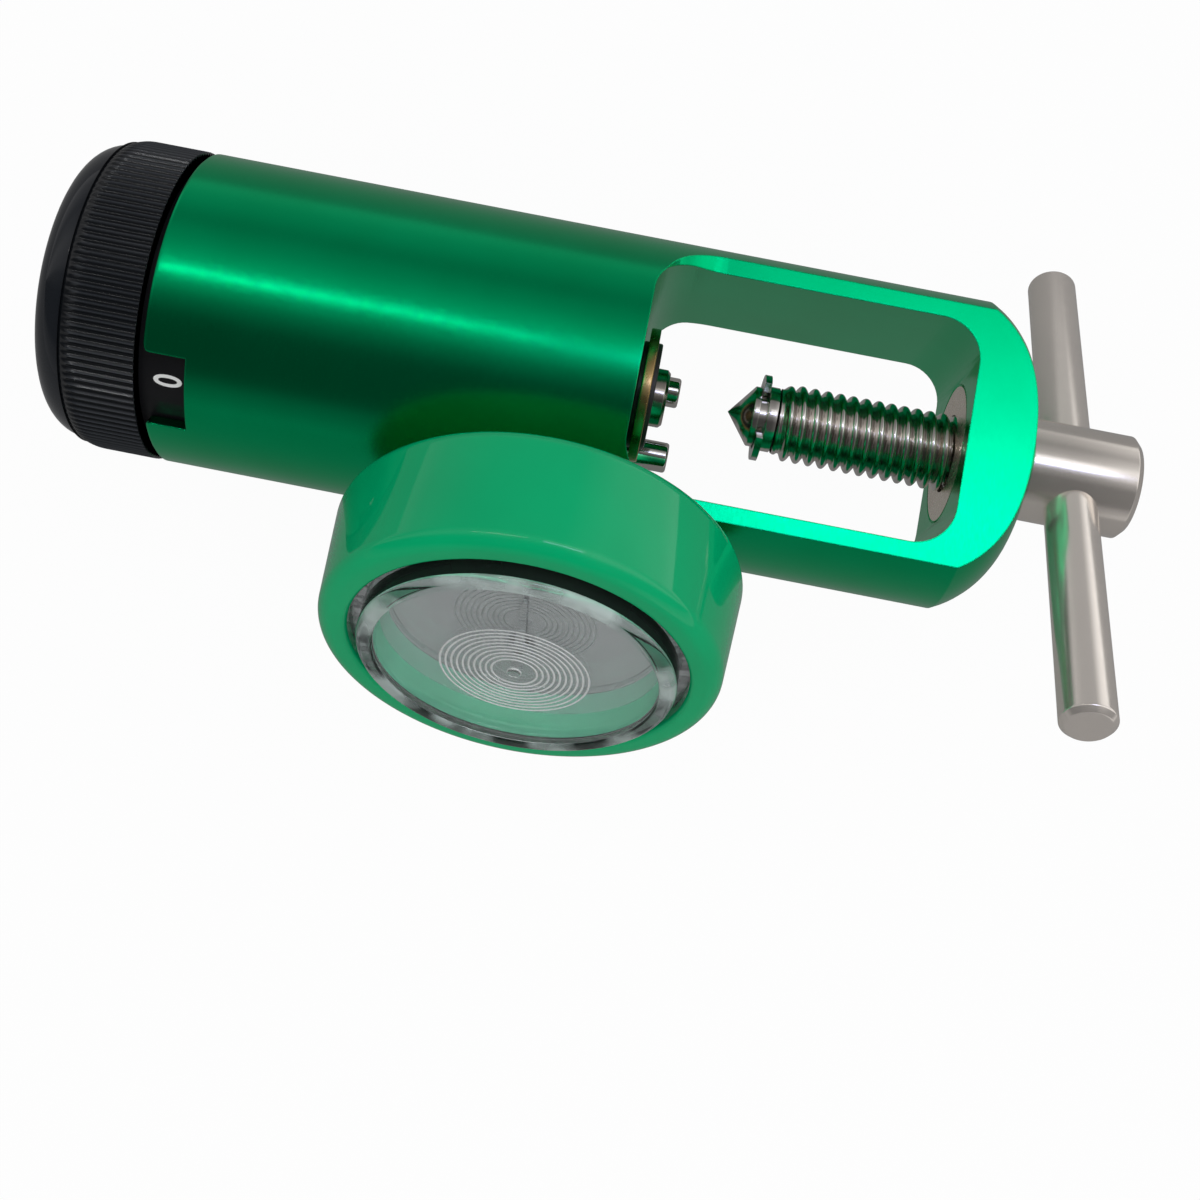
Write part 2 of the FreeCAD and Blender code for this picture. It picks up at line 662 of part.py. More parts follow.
def make_piston():
    """Piston head with a lip, an O-ring groove, a hollow stem and its cone tip."""
    lip, left, right, tip = piston_places()
    head_r = PISTON_BORE_R - PISTON_FIT
    inner, outer = PISTON_LIP_R
    groove_half = PISTON_SEAL_WIRE_R + 0.5 * GROOVE_ROOM
    groove_at = 0.5 * (left + right)
    groove_r = PISTON_BORE_R - SEAL_PLAY - 2.0 * PISTON_SEAL_WIRE_R
    stem_groove_half = STEM_SEAL_WIRE_R + 0.5 * GROOVE_ROOM
    stem_groove_at = X_BORE_END + STEM_GROOVE_FROM_BORE_END
    stem_groove_r = STEM_R - SEAL_PLAY - 2.0 * STEM_SEAL_WIRE_R
    piston = turned([
        (left, STEM_BORE_R), (left, inner), (lip, inner), (lip, outer), (left, outer), (left, head_r),
        (groove_at - groove_half, head_r), (groove_at - groove_half, groove_r),
        (groove_at + groove_half, groove_r), (groove_at + groove_half, head_r),
        (right, head_r), (right, STEM_R + STEM_ROOT), (right + STEM_ROOT, STEM_R),
        (stem_groove_at - stem_groove_half, STEM_R),
        (stem_groove_at - stem_groove_half, stem_groove_r), (stem_groove_at + stem_groove_half, stem_groove_r),
        (stem_groove_at + stem_groove_half, STEM_R), (tip - STEM_TIP_LENGTH, STEM_R), (tip, STEM_TIP_R),
        (tip, STEM_BORE_R)])
    return piston


def make_piston_seal():
    """O-ring in the piston head's groove."""
    left, right = piston_places()[1:3]
    return ring_seal(0.5 * (left + right), PISTON_BORE_R - SEAL_PLAY - PISTON_SEAL_WIRE_R, PISTON_SEAL_WIRE_R)


def make_stem_seal():
    """O-ring in the stem's groove."""
    ring_r = STEM_R - SEAL_PLAY - STEM_SEAL_WIRE_R
    return ring_seal(X_BORE_END + STEM_GROOVE_FROM_BORE_END, ring_r, STEM_SEAL_WIRE_R)


def make_piston_spring():
    """Compression spring of six-sided wire between the piston head and its bore's end."""
    low = piston_places()[2] + SPRING_WIRE_R + SPRING_END_GAP
    length = X_BORE_END - SPRING_WIRE_R - SPRING_END_GAP - low
    helix = Part.makeHelix(length / SPRING_TURNS, length, SPRING_MEAN_R)
    corners = []
    for i in range(7):
        angle = math.pi * i / 3.0
        corners.append(V(SPRING_MEAN_R + SPRING_WIRE_R * math.cos(angle), 0, SPRING_WIRE_R * math.sin(angle)))
    section = Part.makePolygon(corners)
    coil = Part.Wire(helix.Edges).makePipeShell([section], True, True)
    coil.rotate(V(0, 0, 0), V(0, 1, 0), 90)
    coil.translate(V(low, 0, 0))
    return coil


def around(radius, degrees):
    """Point of the YZ plane at an angle from +Y."""
    angle = math.radians(degrees)
    return V(0, radius * math.cos(angle), radius * math.sin(angle))


def block_seal_places():
    """Centres of the two O-rings on the port block."""
    return X_BLOCK_LEFT + BLOCK_SEAL_INSET, X_BLOCK_RIGHT - BLOCK_SEAL_INSET


def make_port_block():
    """Brass block with the port to the hose outlet and three feed holes."""
    block = tube_x(X_BLOCK_LEFT, X_BLOCK_RIGHT, CARTRIDGE_R)
    port = around(PORT_RADIUS, -90.0)
    port_end = X_OUTLET + CROSS_HOLE_R + HOLE_OVERRUN
    cuts = [Part.makeCylinder(PORT_HOLE_R, port_end - X_BLOCK_LEFT + 1.0, port + V(X_BLOCK_LEFT - 1.0, 0, 0),
                              V(1, 0, 0))]
    cross = around(PORT_RADIUS - PORT_HOLE_R - HOLE_OVERRUN, -90.0) + V(X_OUTLET, 0, 0)
    cuts.append(Part.makeCylinder(CROSS_HOLE_R, CARTRIDGE_R, cross, V(0, 0, -1)))
    seal_room = 2.0 * PORT_SEAL_WIRE_R - DISC_GAP + SEAL_PLAY
    cuts.append(Part.makeCylinder(PORT_SEAL_R + PORT_SEAL_WIRE_R + SEAL_PLAY, seal_room,
                                  port + V(X_BLOCK_LEFT, 0, 0), V(1, 0, 0)))
    for degrees in (30.0, 90.0, 150.0):
        feed = around(PORT_RADIUS, degrees) + V(X_BLOCK_LEFT - 1.0, 0, 0)
        cuts.append(Part.makeCylinder(PORT_HOLE_R, BLOCK_LENGTH + 2.0, feed, V(1, 0, 0)))
    cuts.append(tube_x(X_BLOCK_LEFT, X_BLOCK_LEFT + 1.0, SPINDLE_R + 0.5))
    half = BLOCK_SEAL_WIRE_R + 0.5 * GROOVE_ROOM
    bottom = CARTRIDGE_R - SEAL_PLAY - 2.0 * BLOCK_SEAL_WIRE_R
    for place in block_seal_places():
        cuts.append(tube_x(place - half, place + half, CARTRIDGE_R + 1.0, bottom))
    return block.cut(cuts)


def make_block_seals():
    """The port block's two O-rings."""
    ring_r = CARTRIDGE_R - SEAL_PLAY - BLOCK_SEAL_WIRE_R
    return Part.makeCompound([ring_seal(x, ring_r, BLOCK_SEAL_WIRE_R) for x in block_seal_places()])


def make_port_seal():
    """Small O-ring between the port and the orifice disc."""
    seal = ring_seal(X_DISC + SEAL_PLAY + PORT_SEAL_WIRE_R, PORT_SEAL_R, PORT_SEAL_WIRE_R)
    seal.translate(around(PORT_RADIUS, -90.0))
    return seal


def make_orifice_disc():
    """Steel disc with one small orifice for each setting except off."""
    disc = tube_x(X_DISC - DISC_THICK, X_DISC, DISC_R, SPINDLE_TAIL_R)
    cuts = []
    for i in range(1, SETTINGS):
        place = around(PORT_RADIUS, -90.0 - 360.0 * i / SETTINGS) + V(X_DISC - DISC_THICK - 1.0, 0, 0)
        radius = SMALLEST_ORIFICE_R + ORIFICE_STEP * i
        cuts.append(Part.makeCylinder(radius, DISC_THICK + 2.0, place, V(1, 0, 0)))
    return disc.cut(cuts)


def spindle_left():
    """Left end of the spindle, inside the knob's hub."""
    return X_KNOB - KNOB_LENGTH + KNOB_END_WALL + 0.5


def make_spindle():
    """Spindle that carries the knob, the number ring and the orifice disc."""
    left = spindle_left()
    edge = SPINDLE_CHAMFER
    shoulder = X_DISC - DISC_THICK
    return turned([(left, 0), (left, SPINDLE_R - edge), (left + edge, SPINDLE_R), (shoulder, SPINDLE_R),
                   (shoulder, SPINDLE_TAIL_R), (X_DISC, SPINDLE_TAIL_R), (X_DISC, 0)])


def make_bonnet():
    """Plug that closes the barrel around the spindle."""
    bonnet = tube_x(X_BONNET_LEFT, X_BONNET_RIGHT, CARTRIDGE_R, SPINDLE_R + SPINDLE_FIT)
    middle = 0.5 * (X_BONNET_LEFT + X_BONNET_RIGHT)
    half = SPINDLE_SEAL_WIRE_R + 0.5 * GROOVE_ROOM
    groove_r = SPINDLE_R + SPINDLE_FIT + SEAL_PLAY + 2.0 * SPINDLE_SEAL_WIRE_R
    cuts = [tube_x(middle - half, middle + half, groove_r)]
    for degrees in (0.0, 180.0):
        hole = around(0.75 * CARTRIDGE_R, degrees) + V(X_BONNET_LEFT, 0, 0)
        cuts.append(Part.makeCylinder(1.1, 0.5 * BONNET_LENGTH, hole, V(1, 0, 0)))
    return bonnet.cut(cuts)


def make_spindle_seal():
    """O-ring that seals the spindle in the bonnet."""
    ring_r = SPINDLE_R + SPINDLE_FIT + SEAL_PLAY + SPINDLE_SEAL_WIRE_R
    return ring_seal(0.5 * (X_BONNET_LEFT + X_BONNET_RIGHT), ring_r, SPINDLE_SEAL_WIRE_R)


def click_roller(radius, inner, outer, degrees):
    """Round ridge lying along a radius, centred on the click spring's bump."""
    start = around(inner, degrees) + V(X_BONNET_LEFT - CLICK_BUMP_R, 0, 0)
    return Part.makeCylinder(radius, outer - inner, start, around(1.0, degrees))


def make_click_spring():
    """Flat ring spring on the bonnet with one raised bump."""
    ring = tube_x(X_BONNET_LEFT - CLICK_THICK, X_BONNET_LEFT, CLICK_OUTER_R, CLICK_INNER_R)
    bump = click_roller(CLICK_BUMP_R, CLICK_TRACK[0], CLICK_TRACK[1], 90.0)
    return ring.fuse(bump).removeSplitter()


def make_number_ring():
    """Sleeve that carries the flow numbers, with the click notches in its web."""
    left = X_KNOB - RING_IN_KNOB
    sleeve = tube_x(left, X_RING_RIGHT, RING_R, RING_INNER_R)
    web = tube_x(X_WEB_RIGHT - WEB_THICK, X_WEB_RIGHT, RING_INNER_R + 0.2, SPINDLE_R)
    ring = sleeve.fuse(web).removeSplitter()
    cuts = []
    for i in range(SETTINGS):
        cuts.append(click_roller(CLICK_NOTCH_R, CLICK_TRACK[0] - 0.6, CLICK_TRACK[1] + 0.6,
                                 90.0 + 360.0 * i / SETTINGS))
    return ring.cut(cuts)


def ribbed_bar():
    """Bar with fine straight ribs all round, as long as the knob's ribs."""
    step = 2.0 * math.pi / KNOB_RIBS
    tip = 0.5 * RIB_TIP_SHARE * step
    points = []
    for i in range(KNOB_RIBS):
        middle = i * step
        for angle, radius in ((middle - tip, BODY_R), (middle + tip, BODY_R),
                              (middle + 0.5 * step, BODY_R - RIB_DEPTH)):
            points.append(V(0, radius * math.cos(angle), radius * math.sin(angle)))
    points.append(points[0])
    face = Part.Face(Part.makePolygon(points))
    face.translate(V(X_KNOB - KNOB_RIB_LENGTH, 0, 0))
    return face.extrude(V(KNOB_RIB_LENGTH, 0, 0))


def grip_envelope():
    """Outline that the ribs are cut to: a small chamfer, and cones for the shoulder."""
    mouth = KNOB_MOUTH_CHAMFER
    fall = math.acos(1.0 - DOME_INSET / KNOB_SHOULDER_R)
    x_end = X_KNOB - KNOB_RIB_LENGTH
    x_start = x_end + KNOB_SHOULDER_R * math.sin(fall)
    corners = [(X_KNOB, 0), (X_KNOB, BODY_R - mouth), (X_KNOB - mouth, BODY_R)]
    for i in range(KNOB_SHOULDER_STEPS + 1):
        angle = fall * i / KNOB_SHOULDER_STEPS
        corners.append((x_start - KNOB_SHOULDER_R * math.sin(angle),
                        BODY_R - KNOB_SHOULDER_R * (1.0 - math.cos(angle))))
    return turned(corners + [(x_end, 0)])


def make_knob():
    """Flow knob: ribbed grip, smooth domed end and a hub for the spindle."""
    end = X_KNOB - KNOB_LENGTH
    dome = turned([(X_KNOB - 1.0, 0), (X_KNOB - 1.0, BODY_R - DOME_INSET),
                   (end, BODY_R - DOME_INSET, DOME_R), (end, 0)])
    knob = ribbed_bar().common(grip_envelope()).fuse(dome)
    cuts = [tube_x(X_KNOB - RING_IN_KNOB, X_KNOB + 1.0, RING_R, KNOB_HUB_R)]
    cuts.append(tube_x(end + KNOB_END_WALL, X_KNOB - RING_IN_KNOB, RING_INNER_R, KNOB_HUB_R))
    cuts.append(tube_x(spindle_left(), X_KNOB + 1.0, SPINDLE_R))
    return knob.cut(cuts)


def make_gauge_stem():
    """Brass stem of the gauge: thread, hexagon, shank and inner flange."""
    low = GAUGE_SEAT_H - GAUGE_THREAD_LENGTH
    hex_top = GAUGE_SEAT_H + STEM_HEX_H
    stem = tube_x(low, GAUGE_SEAT_H, GAUGE_THREAD_R)
    stem = stem.fuse(hexagon_x(STEM_HEX, GAUGE_SEAT_H, hex_top, 0.5))
    stem = stem.fuse(tube_x(hex_top, CASE_FLOOR_H, STEM_SHANK_R))
    stem = stem.fuse(tube_x(CASE_FLOOR_H, FLANGE_TOP_H, FLANGE_R))
    socket_foot = V(FLANGE_TOP_H, 0, -SOCKET_AT_R)
    socket = Part.makeCylinder(SOCKET_R, COIL_HIGH_H - FLANGE_TOP_H, socket_foot, V(1, 0, 0))
    stem = stem.fuse(socket)
    stem = stem.removeSplitter().cut([tube_x(low - 1.0, CASE_BACK_H, GAUGE_PASSAGE_R),
                                      tube_x(CASE_FLOOR_H, FLANGE_TOP_H + 1.0, ARBOR_R + ARBOR_FIT)])
    return at_gauge(stem).cut(make_pressure_coil())


def make_gauge_case():
    """Steel cup of the gauge with a ledge for the dial."""
    cup = turned([
        (CASE_BACK_H, STEM_SHANK_R), (CASE_BACK_H, CASE_R - CASE_CHAMFER),
        (CASE_BACK_H + CASE_CHAMFER, CASE_R), (DIAL_TOP_H, CASE_R),
        (DIAL_TOP_H, CASE_R - CASE_WALL), (LEDGE_H, CASE_R - CASE_WALL), (LEDGE_H, LEDGE_R),
        (CASE_FLOOR_H, LEDGE_R), (CASE_FLOOR_H, STEM_SHANK_R)])
    return at_gauge(cup)


def make_gauge_boot():
    """Green rubber boot around the gauge case, with a rolled front lip."""
    back = CASE_BACK_H - BOOT_BACK_WALL
    flange_top = DIAL_TOP_H + WINDOW_FLANGE + BOOT_FIT
    front = flange_top + BOOT_LIP_THICK
    edge = BOOT_LIP_CHAMFER
    inside = CASE_BACK_H - BOOT_FIT
    boot = turned([
        (back, BOOT_HOLE_R), (back, BOOT_BACK_R, BOOT_EDGE_R), (front, BOOT_FRONT_R, BOOT_LIP_ROUND),
        (front, BOOT_LIP_R + edge), (front - edge, BOOT_LIP_R), (flange_top, BOOT_LIP_R),
        (flange_top, BOOT_BORE_R), (inside + CASE_CHAMFER, BOOT_BORE_R), (inside, BOOT_BORE_R - CASE_CHAMFER),
        (inside, BOOT_HOLE_R)])
    return at_gauge(boot)


def make_gauge_window():
    """Clear window of the gauge: a cup with a flange, a raised rim and a centre pip."""
    flange_h = DIAL_TOP_H + WINDOW_FLANGE
    pip_h = WINDOW_FACE_H + WINDOW_PIP_H
    window = turned([
        (DIAL_TOP_H, WINDOW_BORE_R), (DIAL_TOP_H, WINDOW_FLANGE_R), (flange_h, WINDOW_FLANGE_R),
        (flange_h, WINDOW_R), (WINDOW_TOP_H, WINDOW_R, WINDOW_EDGE_R), (WINDOW_TOP_H, WINDOW_FACE_R),
        (WINDOW_FACE_H, WINDOW_FACE_R), (WINDOW_FACE_H, WINDOW_PIP_R), (pip_h, WINDOW_PIP_R), (pip_h, 0),
        (WINDOW_INSIDE_H, 0), (WINDOW_INSIDE_H, WINDOW_BORE_R)])
    return at_gauge(window)


def make_gauge_dial():
    """Dial plate on the case's ledge."""
    return at_gauge(tube_x(LEDGE_H, DIAL_TOP_H, CASE_R - CASE_WALL - DIAL_FIT, ARBOR_R + 0.7))


def make_gauge_bridge():
    """Bridge on two posts that carries the pointer arbor's upper bearing."""
    half = 0.5 * BRIDGE_WIDTH
    reach = BRIDGE_POST_AT + 2.0 * BRIDGE_POST_R
    plate = extruded_x([(-reach, -half, 2.0), (reach, -half, 2.0), (reach, half, 2.0), (-reach, half, 2.0)],
                       BRIDGE_H, BRIDGE_H + BRIDGE_THICK)
    for side in (-1.0, 1.0):
        foot = V(CASE_FLOOR_H, side * BRIDGE_POST_AT, 0)
        plate = plate.fuse(Part.makeCylinder(BRIDGE_POST_R, BRIDGE_H - CASE_FLOOR_H, foot, V(1, 0, 0)))
    bearing = tube_x(BRIDGE_H - 1.0, BRIDGE_H + BRIDGE_THICK + 1.0, ARBOR_R + ARBOR_FIT)
    return at_gauge(plate.cut(bearing).removeSplitter())


def half_turns(offset):
    """Half circles of the pressure coil, shifted outward by offset."""
    arcs = []
    for i in range(COIL_HALF_TURNS):
        side = 1.0 if i % 2 == 0 else -1.0
        radius = COIL_START_R + 0.5 * COIL_PITCH * (i + 0.5) + offset
        centre = 0.25 * COIL_PITCH * side
        arcs.append((V(0, 0, centre - side * radius), V(0, side * radius, centre),
                     V(0, 0, centre + side * radius)))
    return arcs


def make_pressure_coil():
    """Flat spiral pressure tube that turns the pointer arbor."""
    inner = half_turns(-0.5 * COIL_WALL)
    outer = half_turns(0.5 * COIL_WALL)
    edges = [Part.Arc(*arc).toShape() for arc in inner]
    edges.append(Part.LineSegment(inner[-1][2], outer[-1][2]).toShape())
    edges += [Part.Arc(*reversed(arc)).toShape() for arc in reversed(outer)]
    edges.append(Part.LineSegment(outer[0][0], inner[0][0]).toShape())
    face = Part.Face(Part.Wire(edges))
    face.translate(V(COIL_LOW_H, 0, 0))
    return at_gauge(face.extrude(V(COIL_HEIGHT, 0, 0)))


def make_pointer_arbor():
    """Arbor between the stem's flange and the bridge, with the coil's hub."""
    low = CASE_FLOOR_H + ARBOR_END_GAP
    arbor = tube_x(low, POINTER_LOW_H + POINTER_THICK, ARBOR_R)
    return at_gauge(arbor.fuse(tube_x(COIL_LOW_H - ARBOR_HUB_PAST, COIL_HIGH_H + ARBOR_HUB_PAST, ARBOR_HUB_R)))


def make_gauge_pointer():
    """Pointer with a round hub and a short tail."""
    half = 0.5 * POINTER_WIDTH
    tip = 0.5 * POINTER_TIP
    top = POINTER_LOW_H + POINTER_THICK
    blade = extruded_x([(-half, -POINTER_TAIL), (half, -POINTER_TAIL), (half, 0), (tip, POINTER_LENGTH),
                        (-tip, POINTER_LENGTH), (-half, 0)], POINTER_LOW_H, top)
    pointer = blade.fuse(tube_x(POINTER_LOW_H, top, POINTER_HUB_R))
    return at_gauge(pointer.cut(tube_x(POINTER_LOW_H - 1.0, top + 1.0, ARBOR_R)).removeSplitter())


def make_outlet_washer():
    """Sealing washer under the outlet's hexagon."""
    return at_outlet(tube_x(OUTLET_SEAT_H, OUTLET_SEAT_H + WASHER_THICK, WASHER_R, OUTLET_THREAD_R))


def make_hose_barb():
    """Hose outlet: thread, hexagon, neck and tapered barbs around one bore."""
    hex_low = OUTLET_SEAT_H + WASHER_THICK
    hex_top = hex_low + OUTLET_HEX_H
    low = CARTRIDGE_R + 0.1
    start = hex_top + BARB_NECK
    corners = [(low, 0), (low, OUTLET_THREAD_R), (hex_low + 0.5, OUTLET_THREAD_R), (hex_low + 0.5, BARB_NECK_R),
               (start, BARB_NECK_R)]
    for i in range(BARB_COUNT):
        shoulder = start + i * BARB_PITCH
        corners.append((shoulder, BARB_R))
        corners.append((shoulder + BARB_PITCH, BARB_ROOT_R))
    tip = start + BARB_COUNT * BARB_PITCH
    corners += [(tip, BARB_R), (tip + BARB_TIP - BARB_TIP_CHAMFER, BARB_TIP_R),
                (tip + BARB_TIP, BARB_TIP_R - BARB_TIP_CHAMFER), (tip + BARB_TIP, 0)]
    barb = turned(corners).fuse(hexagon_x(OUTLET_HEX, hex_low, hex_top, 0.7))
    return at_outlet(barb.cut(tube_x(low - 1.0, tip + BARB_TIP + 1.0, BARB_BORE_R)).removeSplitter())


def parts():
    """Every node of the regulator by name."""
    pins = [make_index_pin(place) for place in index_pin_places()]
    return {
        "body": make_body(),
        "yoke_bush": make_yoke_bush(),
        "clamp_screw": make_clamp_screw(),
        "retaining_clip": make_retaining_clip(),
        "tee_hub": make_tee_hub(),
        "tee_bar": make_tee_bar(),
        "inlet_nipple": make_inlet_nipple(),
        "inlet_filter": make_inlet_filter(),
        "seal_ring": make_seal_ring(),
        "seal_rubber": make_seal_rubber(),
        "index_pin_front": pins[0],
        "index_pin_rear": pins[1],
        "seat_holder": make_seat_holder(),
        "valve_seat": make_valve_seat(),
        "piston": make_piston(),
        "piston_seal": make_piston_seal(),
        "stem_seal": make_stem_seal(),
        "piston_spring": make_piston_spring(),
        "port_block": make_port_block(),
        "block_seals": make_block_seals(),
        "port_seal": make_port_seal(),
        "orifice_disc": make_orifice_disc(),
        "flow_spindle": make_spindle(),
        "bonnet": make_bonnet(),
        "spindle_seal": make_spindle_seal(),
        "click_spring": make_click_spring(),
        "number_ring": make_number_ring(),
        "flow_knob": make_knob(),
        "outlet_washer": make_outlet_washer(),
        "hose_barb": make_hose_barb(),
        "gauge_stem": make_gauge_stem(),
        "gauge_case": make_gauge_case(),
        "gauge_boot": make_gauge_boot(),
        "gauge_window": make_gauge_window(),
        "gauge_dial": make_gauge_dial(),
        "gauge_bridge": make_gauge_bridge(),
        "pressure_coil": make_pressure_coil(),
        "pointer_arbor": make_pointer_arbor(),
        "gauge_pointer": make_gauge_pointer(),
    }


os.makedirs("parts", exist_ok=True)
for node, shape in parts().items():
    shape.exportStep("parts/" + node + ".step")
    print(node, len(shape.Solids), round(shape.Volume, 2), shape.isValid())
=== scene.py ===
import math

import bpy
import numpy as np
from bpy.props import FloatProperty, FloatVectorProperty, IntProperty, PointerProperty
from mathutils import Matrix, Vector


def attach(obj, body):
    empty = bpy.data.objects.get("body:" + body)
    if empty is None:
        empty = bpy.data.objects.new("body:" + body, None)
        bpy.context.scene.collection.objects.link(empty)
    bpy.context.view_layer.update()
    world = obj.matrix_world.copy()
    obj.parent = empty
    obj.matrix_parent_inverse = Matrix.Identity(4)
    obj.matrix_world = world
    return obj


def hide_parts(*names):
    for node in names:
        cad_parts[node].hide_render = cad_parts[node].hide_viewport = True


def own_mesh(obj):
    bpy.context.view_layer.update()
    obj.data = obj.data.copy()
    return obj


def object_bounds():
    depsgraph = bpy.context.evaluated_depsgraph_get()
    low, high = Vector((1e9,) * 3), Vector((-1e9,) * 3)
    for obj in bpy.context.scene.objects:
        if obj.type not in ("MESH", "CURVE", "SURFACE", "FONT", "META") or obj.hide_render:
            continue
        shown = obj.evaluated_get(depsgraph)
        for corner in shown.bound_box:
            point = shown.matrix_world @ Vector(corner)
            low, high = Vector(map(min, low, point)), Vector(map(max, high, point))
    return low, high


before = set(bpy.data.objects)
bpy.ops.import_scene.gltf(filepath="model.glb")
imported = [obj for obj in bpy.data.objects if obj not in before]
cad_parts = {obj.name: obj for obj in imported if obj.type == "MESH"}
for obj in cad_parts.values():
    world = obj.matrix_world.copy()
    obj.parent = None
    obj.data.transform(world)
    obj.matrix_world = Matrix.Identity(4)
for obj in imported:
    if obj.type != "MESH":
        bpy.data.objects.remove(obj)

bl_info = {
    "name": "Oxygen regulator looks",
    "version": (1, 0, 0),
    "blender": (4, 5, 0),
    "location": "View3D > Sidebar > Regulator",
    "description": "Dresses the oxygen regulator's frame with finished surfaces, lights and a camera",
    "category": "Object",
}

CAD_BOX = [list(corner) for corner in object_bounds()]

# Brightness of the studio by angle in degrees from straight up towards +Y
SKY = ((-180, 0.30), (-107, 0.30), (-88, 0.25), (-72, 0.16), (-58, 0.06), (-22, 0.06), (-8, 0.14), (4, 0.34),
       (22, 0.42), (40, 0.28), (52, 0.20), (74, 0.32), (90, 0.46), (115, 0.42), (180, 0.30))
MM = 0.001
X_AXIS = (1.0, 0.0, 0.0)

# Places on the CAD body, in millimetres
BARREL_R = 19.05
DOME_START_X = 40.0
DOME_CENTRE_X, DOME_CENTRE_R, DOME_ARC_R = 34.464, 7.58, 12.736
RIM_CHAMFER_X, RIM_CHAMFER_R = -54.79, 18.6
KNOB_FACE_X = -56.5
NUMBER_RING_R = 17.2
INLET_PIN_Y, INLET_PIN_Z = 4.4159, -13.5906


# Shapes


def size(name, about, default, low=0.0):
    """A length property in metres, given here in millimetres."""
    return FloatProperty(name=name, description=about, default=default * MM, min=low, unit="LENGTH", precision=5)


def tint(name, about, default):
    """A colour property."""
    return FloatVectorProperty(name=name, description=about, default=default, size=3, min=0.0, max=1.0,
                               subtype="COLOR")


def rounded(corners, steps=5):
    """Outline through (h, r) or (h, r, rounding) corners: each rounding is an arc tangent to both its runs,
    centred at corner + bisector * rounding / sin(half angle)."""
    points = []
    flat = np.array([c[:2] for c in corners], float)
    for i, corner in enumerate(corners):
        radius = corner[2] if len(corner) > 2 else 0.0
        if radius <= 0.0:
            points.append(flat[i:i + 1])
            continue
        back = flat[i - 1] - flat[i]
        ahead = flat[(i + 1) % len(flat)] - flat[i]
        back /= np.linalg.norm(back)
        ahead /= np.linalg.norm(ahead)
        half = 0.5 * math.acos(float(np.clip(back @ ahead, -1.0, 1.0)))
        bisector = (back + ahead) / np.linalg.norm(back + ahead)
        centre = flat[i] + bisector * radius / math.sin(half)
        start = flat[i] + back * radius / math.tan(half) - centre
        end = flat[i] + ahead * radius / math.tan(half) - centre
        turn = math.atan2(start[0] * end[1] - start[1] * end[0], start @ end)
        angle = np.linspace(0.0, turn, steps + 1)
        points.append(centre + np.stack([start[0] * np.cos(angle) - start[1] * np.sin(angle),
                                         start[0] * np.sin(angle) + start[1] * np.cos(angle)], 1))
    return np.concatenate(points)


def basis(direction, sideways):
    """Right-handed axes as rows: direction, sideways made square to it, and their cross product."""
    d = np.array(direction, float)
    d /= np.linalg.norm(d)
    s = np.array(sideways, float)
    s -= d * (s @ d)
    s /= np.linalg.norm(s)
    return np.stack([d, s, np.cross(d, s)])


def grid_mesh(name, points, close_u=False, close_v=False, flip=False):
    """Mesh object over a grid of points, shape (rows, columns, 3), in millimetres."""
    rows, columns = points.shape[:2]
    index = np.arange(rows * columns).reshape(rows, columns)
    if close_u:
        index = np.concatenate([index, index[:1]], 0)
    if close_v:
        index = np.concatenate([index, index[:, :1]], 1)
    quads = np.stack([index[:-1, :-1], index[:-1, 1:], index[1:, 1:], index[1:, :-1]], -1).reshape(-1, 4)
    if flip:
        quads = quads[:, ::-1]
    mesh = bpy.data.meshes.new(name)
    mesh.from_pydata((points.reshape(-1, 3) * MM).tolist(), [], quads.tolist())
    return finish_mesh(name, mesh)


def finish_mesh(name, mesh, angle=32.0):
    """Object of a mesh whose doubled points are merged, smooth apart from its sharp edges."""
    import bmesh
    work = bmesh.new()
    work.from_mesh(mesh)
    bmesh.ops.remove_doubles(work, verts=work.verts, dist=2e-7)
    bmesh.ops.dissolve_degenerate(work, dist=1e-7, edges=work.edges)
    work.to_mesh(mesh)
    work.free()
    mesh.shade_smooth()
    mesh.set_sharp_from_angle(angle=math.radians(angle))
    made = bpy.data.objects.new(name, mesh)
    bpy.context.scene.collection.objects.link(made)
    return made


def lathe(name, outline, origin=(0, 0, 0), direction=X_AXIS, sideways=(0, 1, 0), segments=160, closed=False):
    """Surface of revolution: point = origin + h * d + r * (cos(a) * s + sin(a) * t), with (h, r) on the outline
    and a all round. The outline runs with its solid on its right when h grows to the right and r upwards."""
    d, s, t = basis(direction, sideways)
    angle = np.linspace(0.0, 2.0 * math.pi, segments, endpoint=False)
    around = np.cos(angle)[:, None] * s + np.sin(angle)[:, None] * t
    h, r = outline[:, 0], outline[:, 1]
    points = np.array(origin, float) + h[:, None, None] * d + r[:, None, None] * around[None]
    return grid_mesh(name, points, close_u=closed, close_v=True)


def smooth_copy(node, angle=32.0):
    """Copy of a CAD node with its points merged and its curved faces shaded smooth."""
    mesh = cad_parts[node].data.copy()
    mesh.name = node + "_surface"
    mesh.materials.clear()
    return finish_mesh(node + "_surface", mesh, angle)


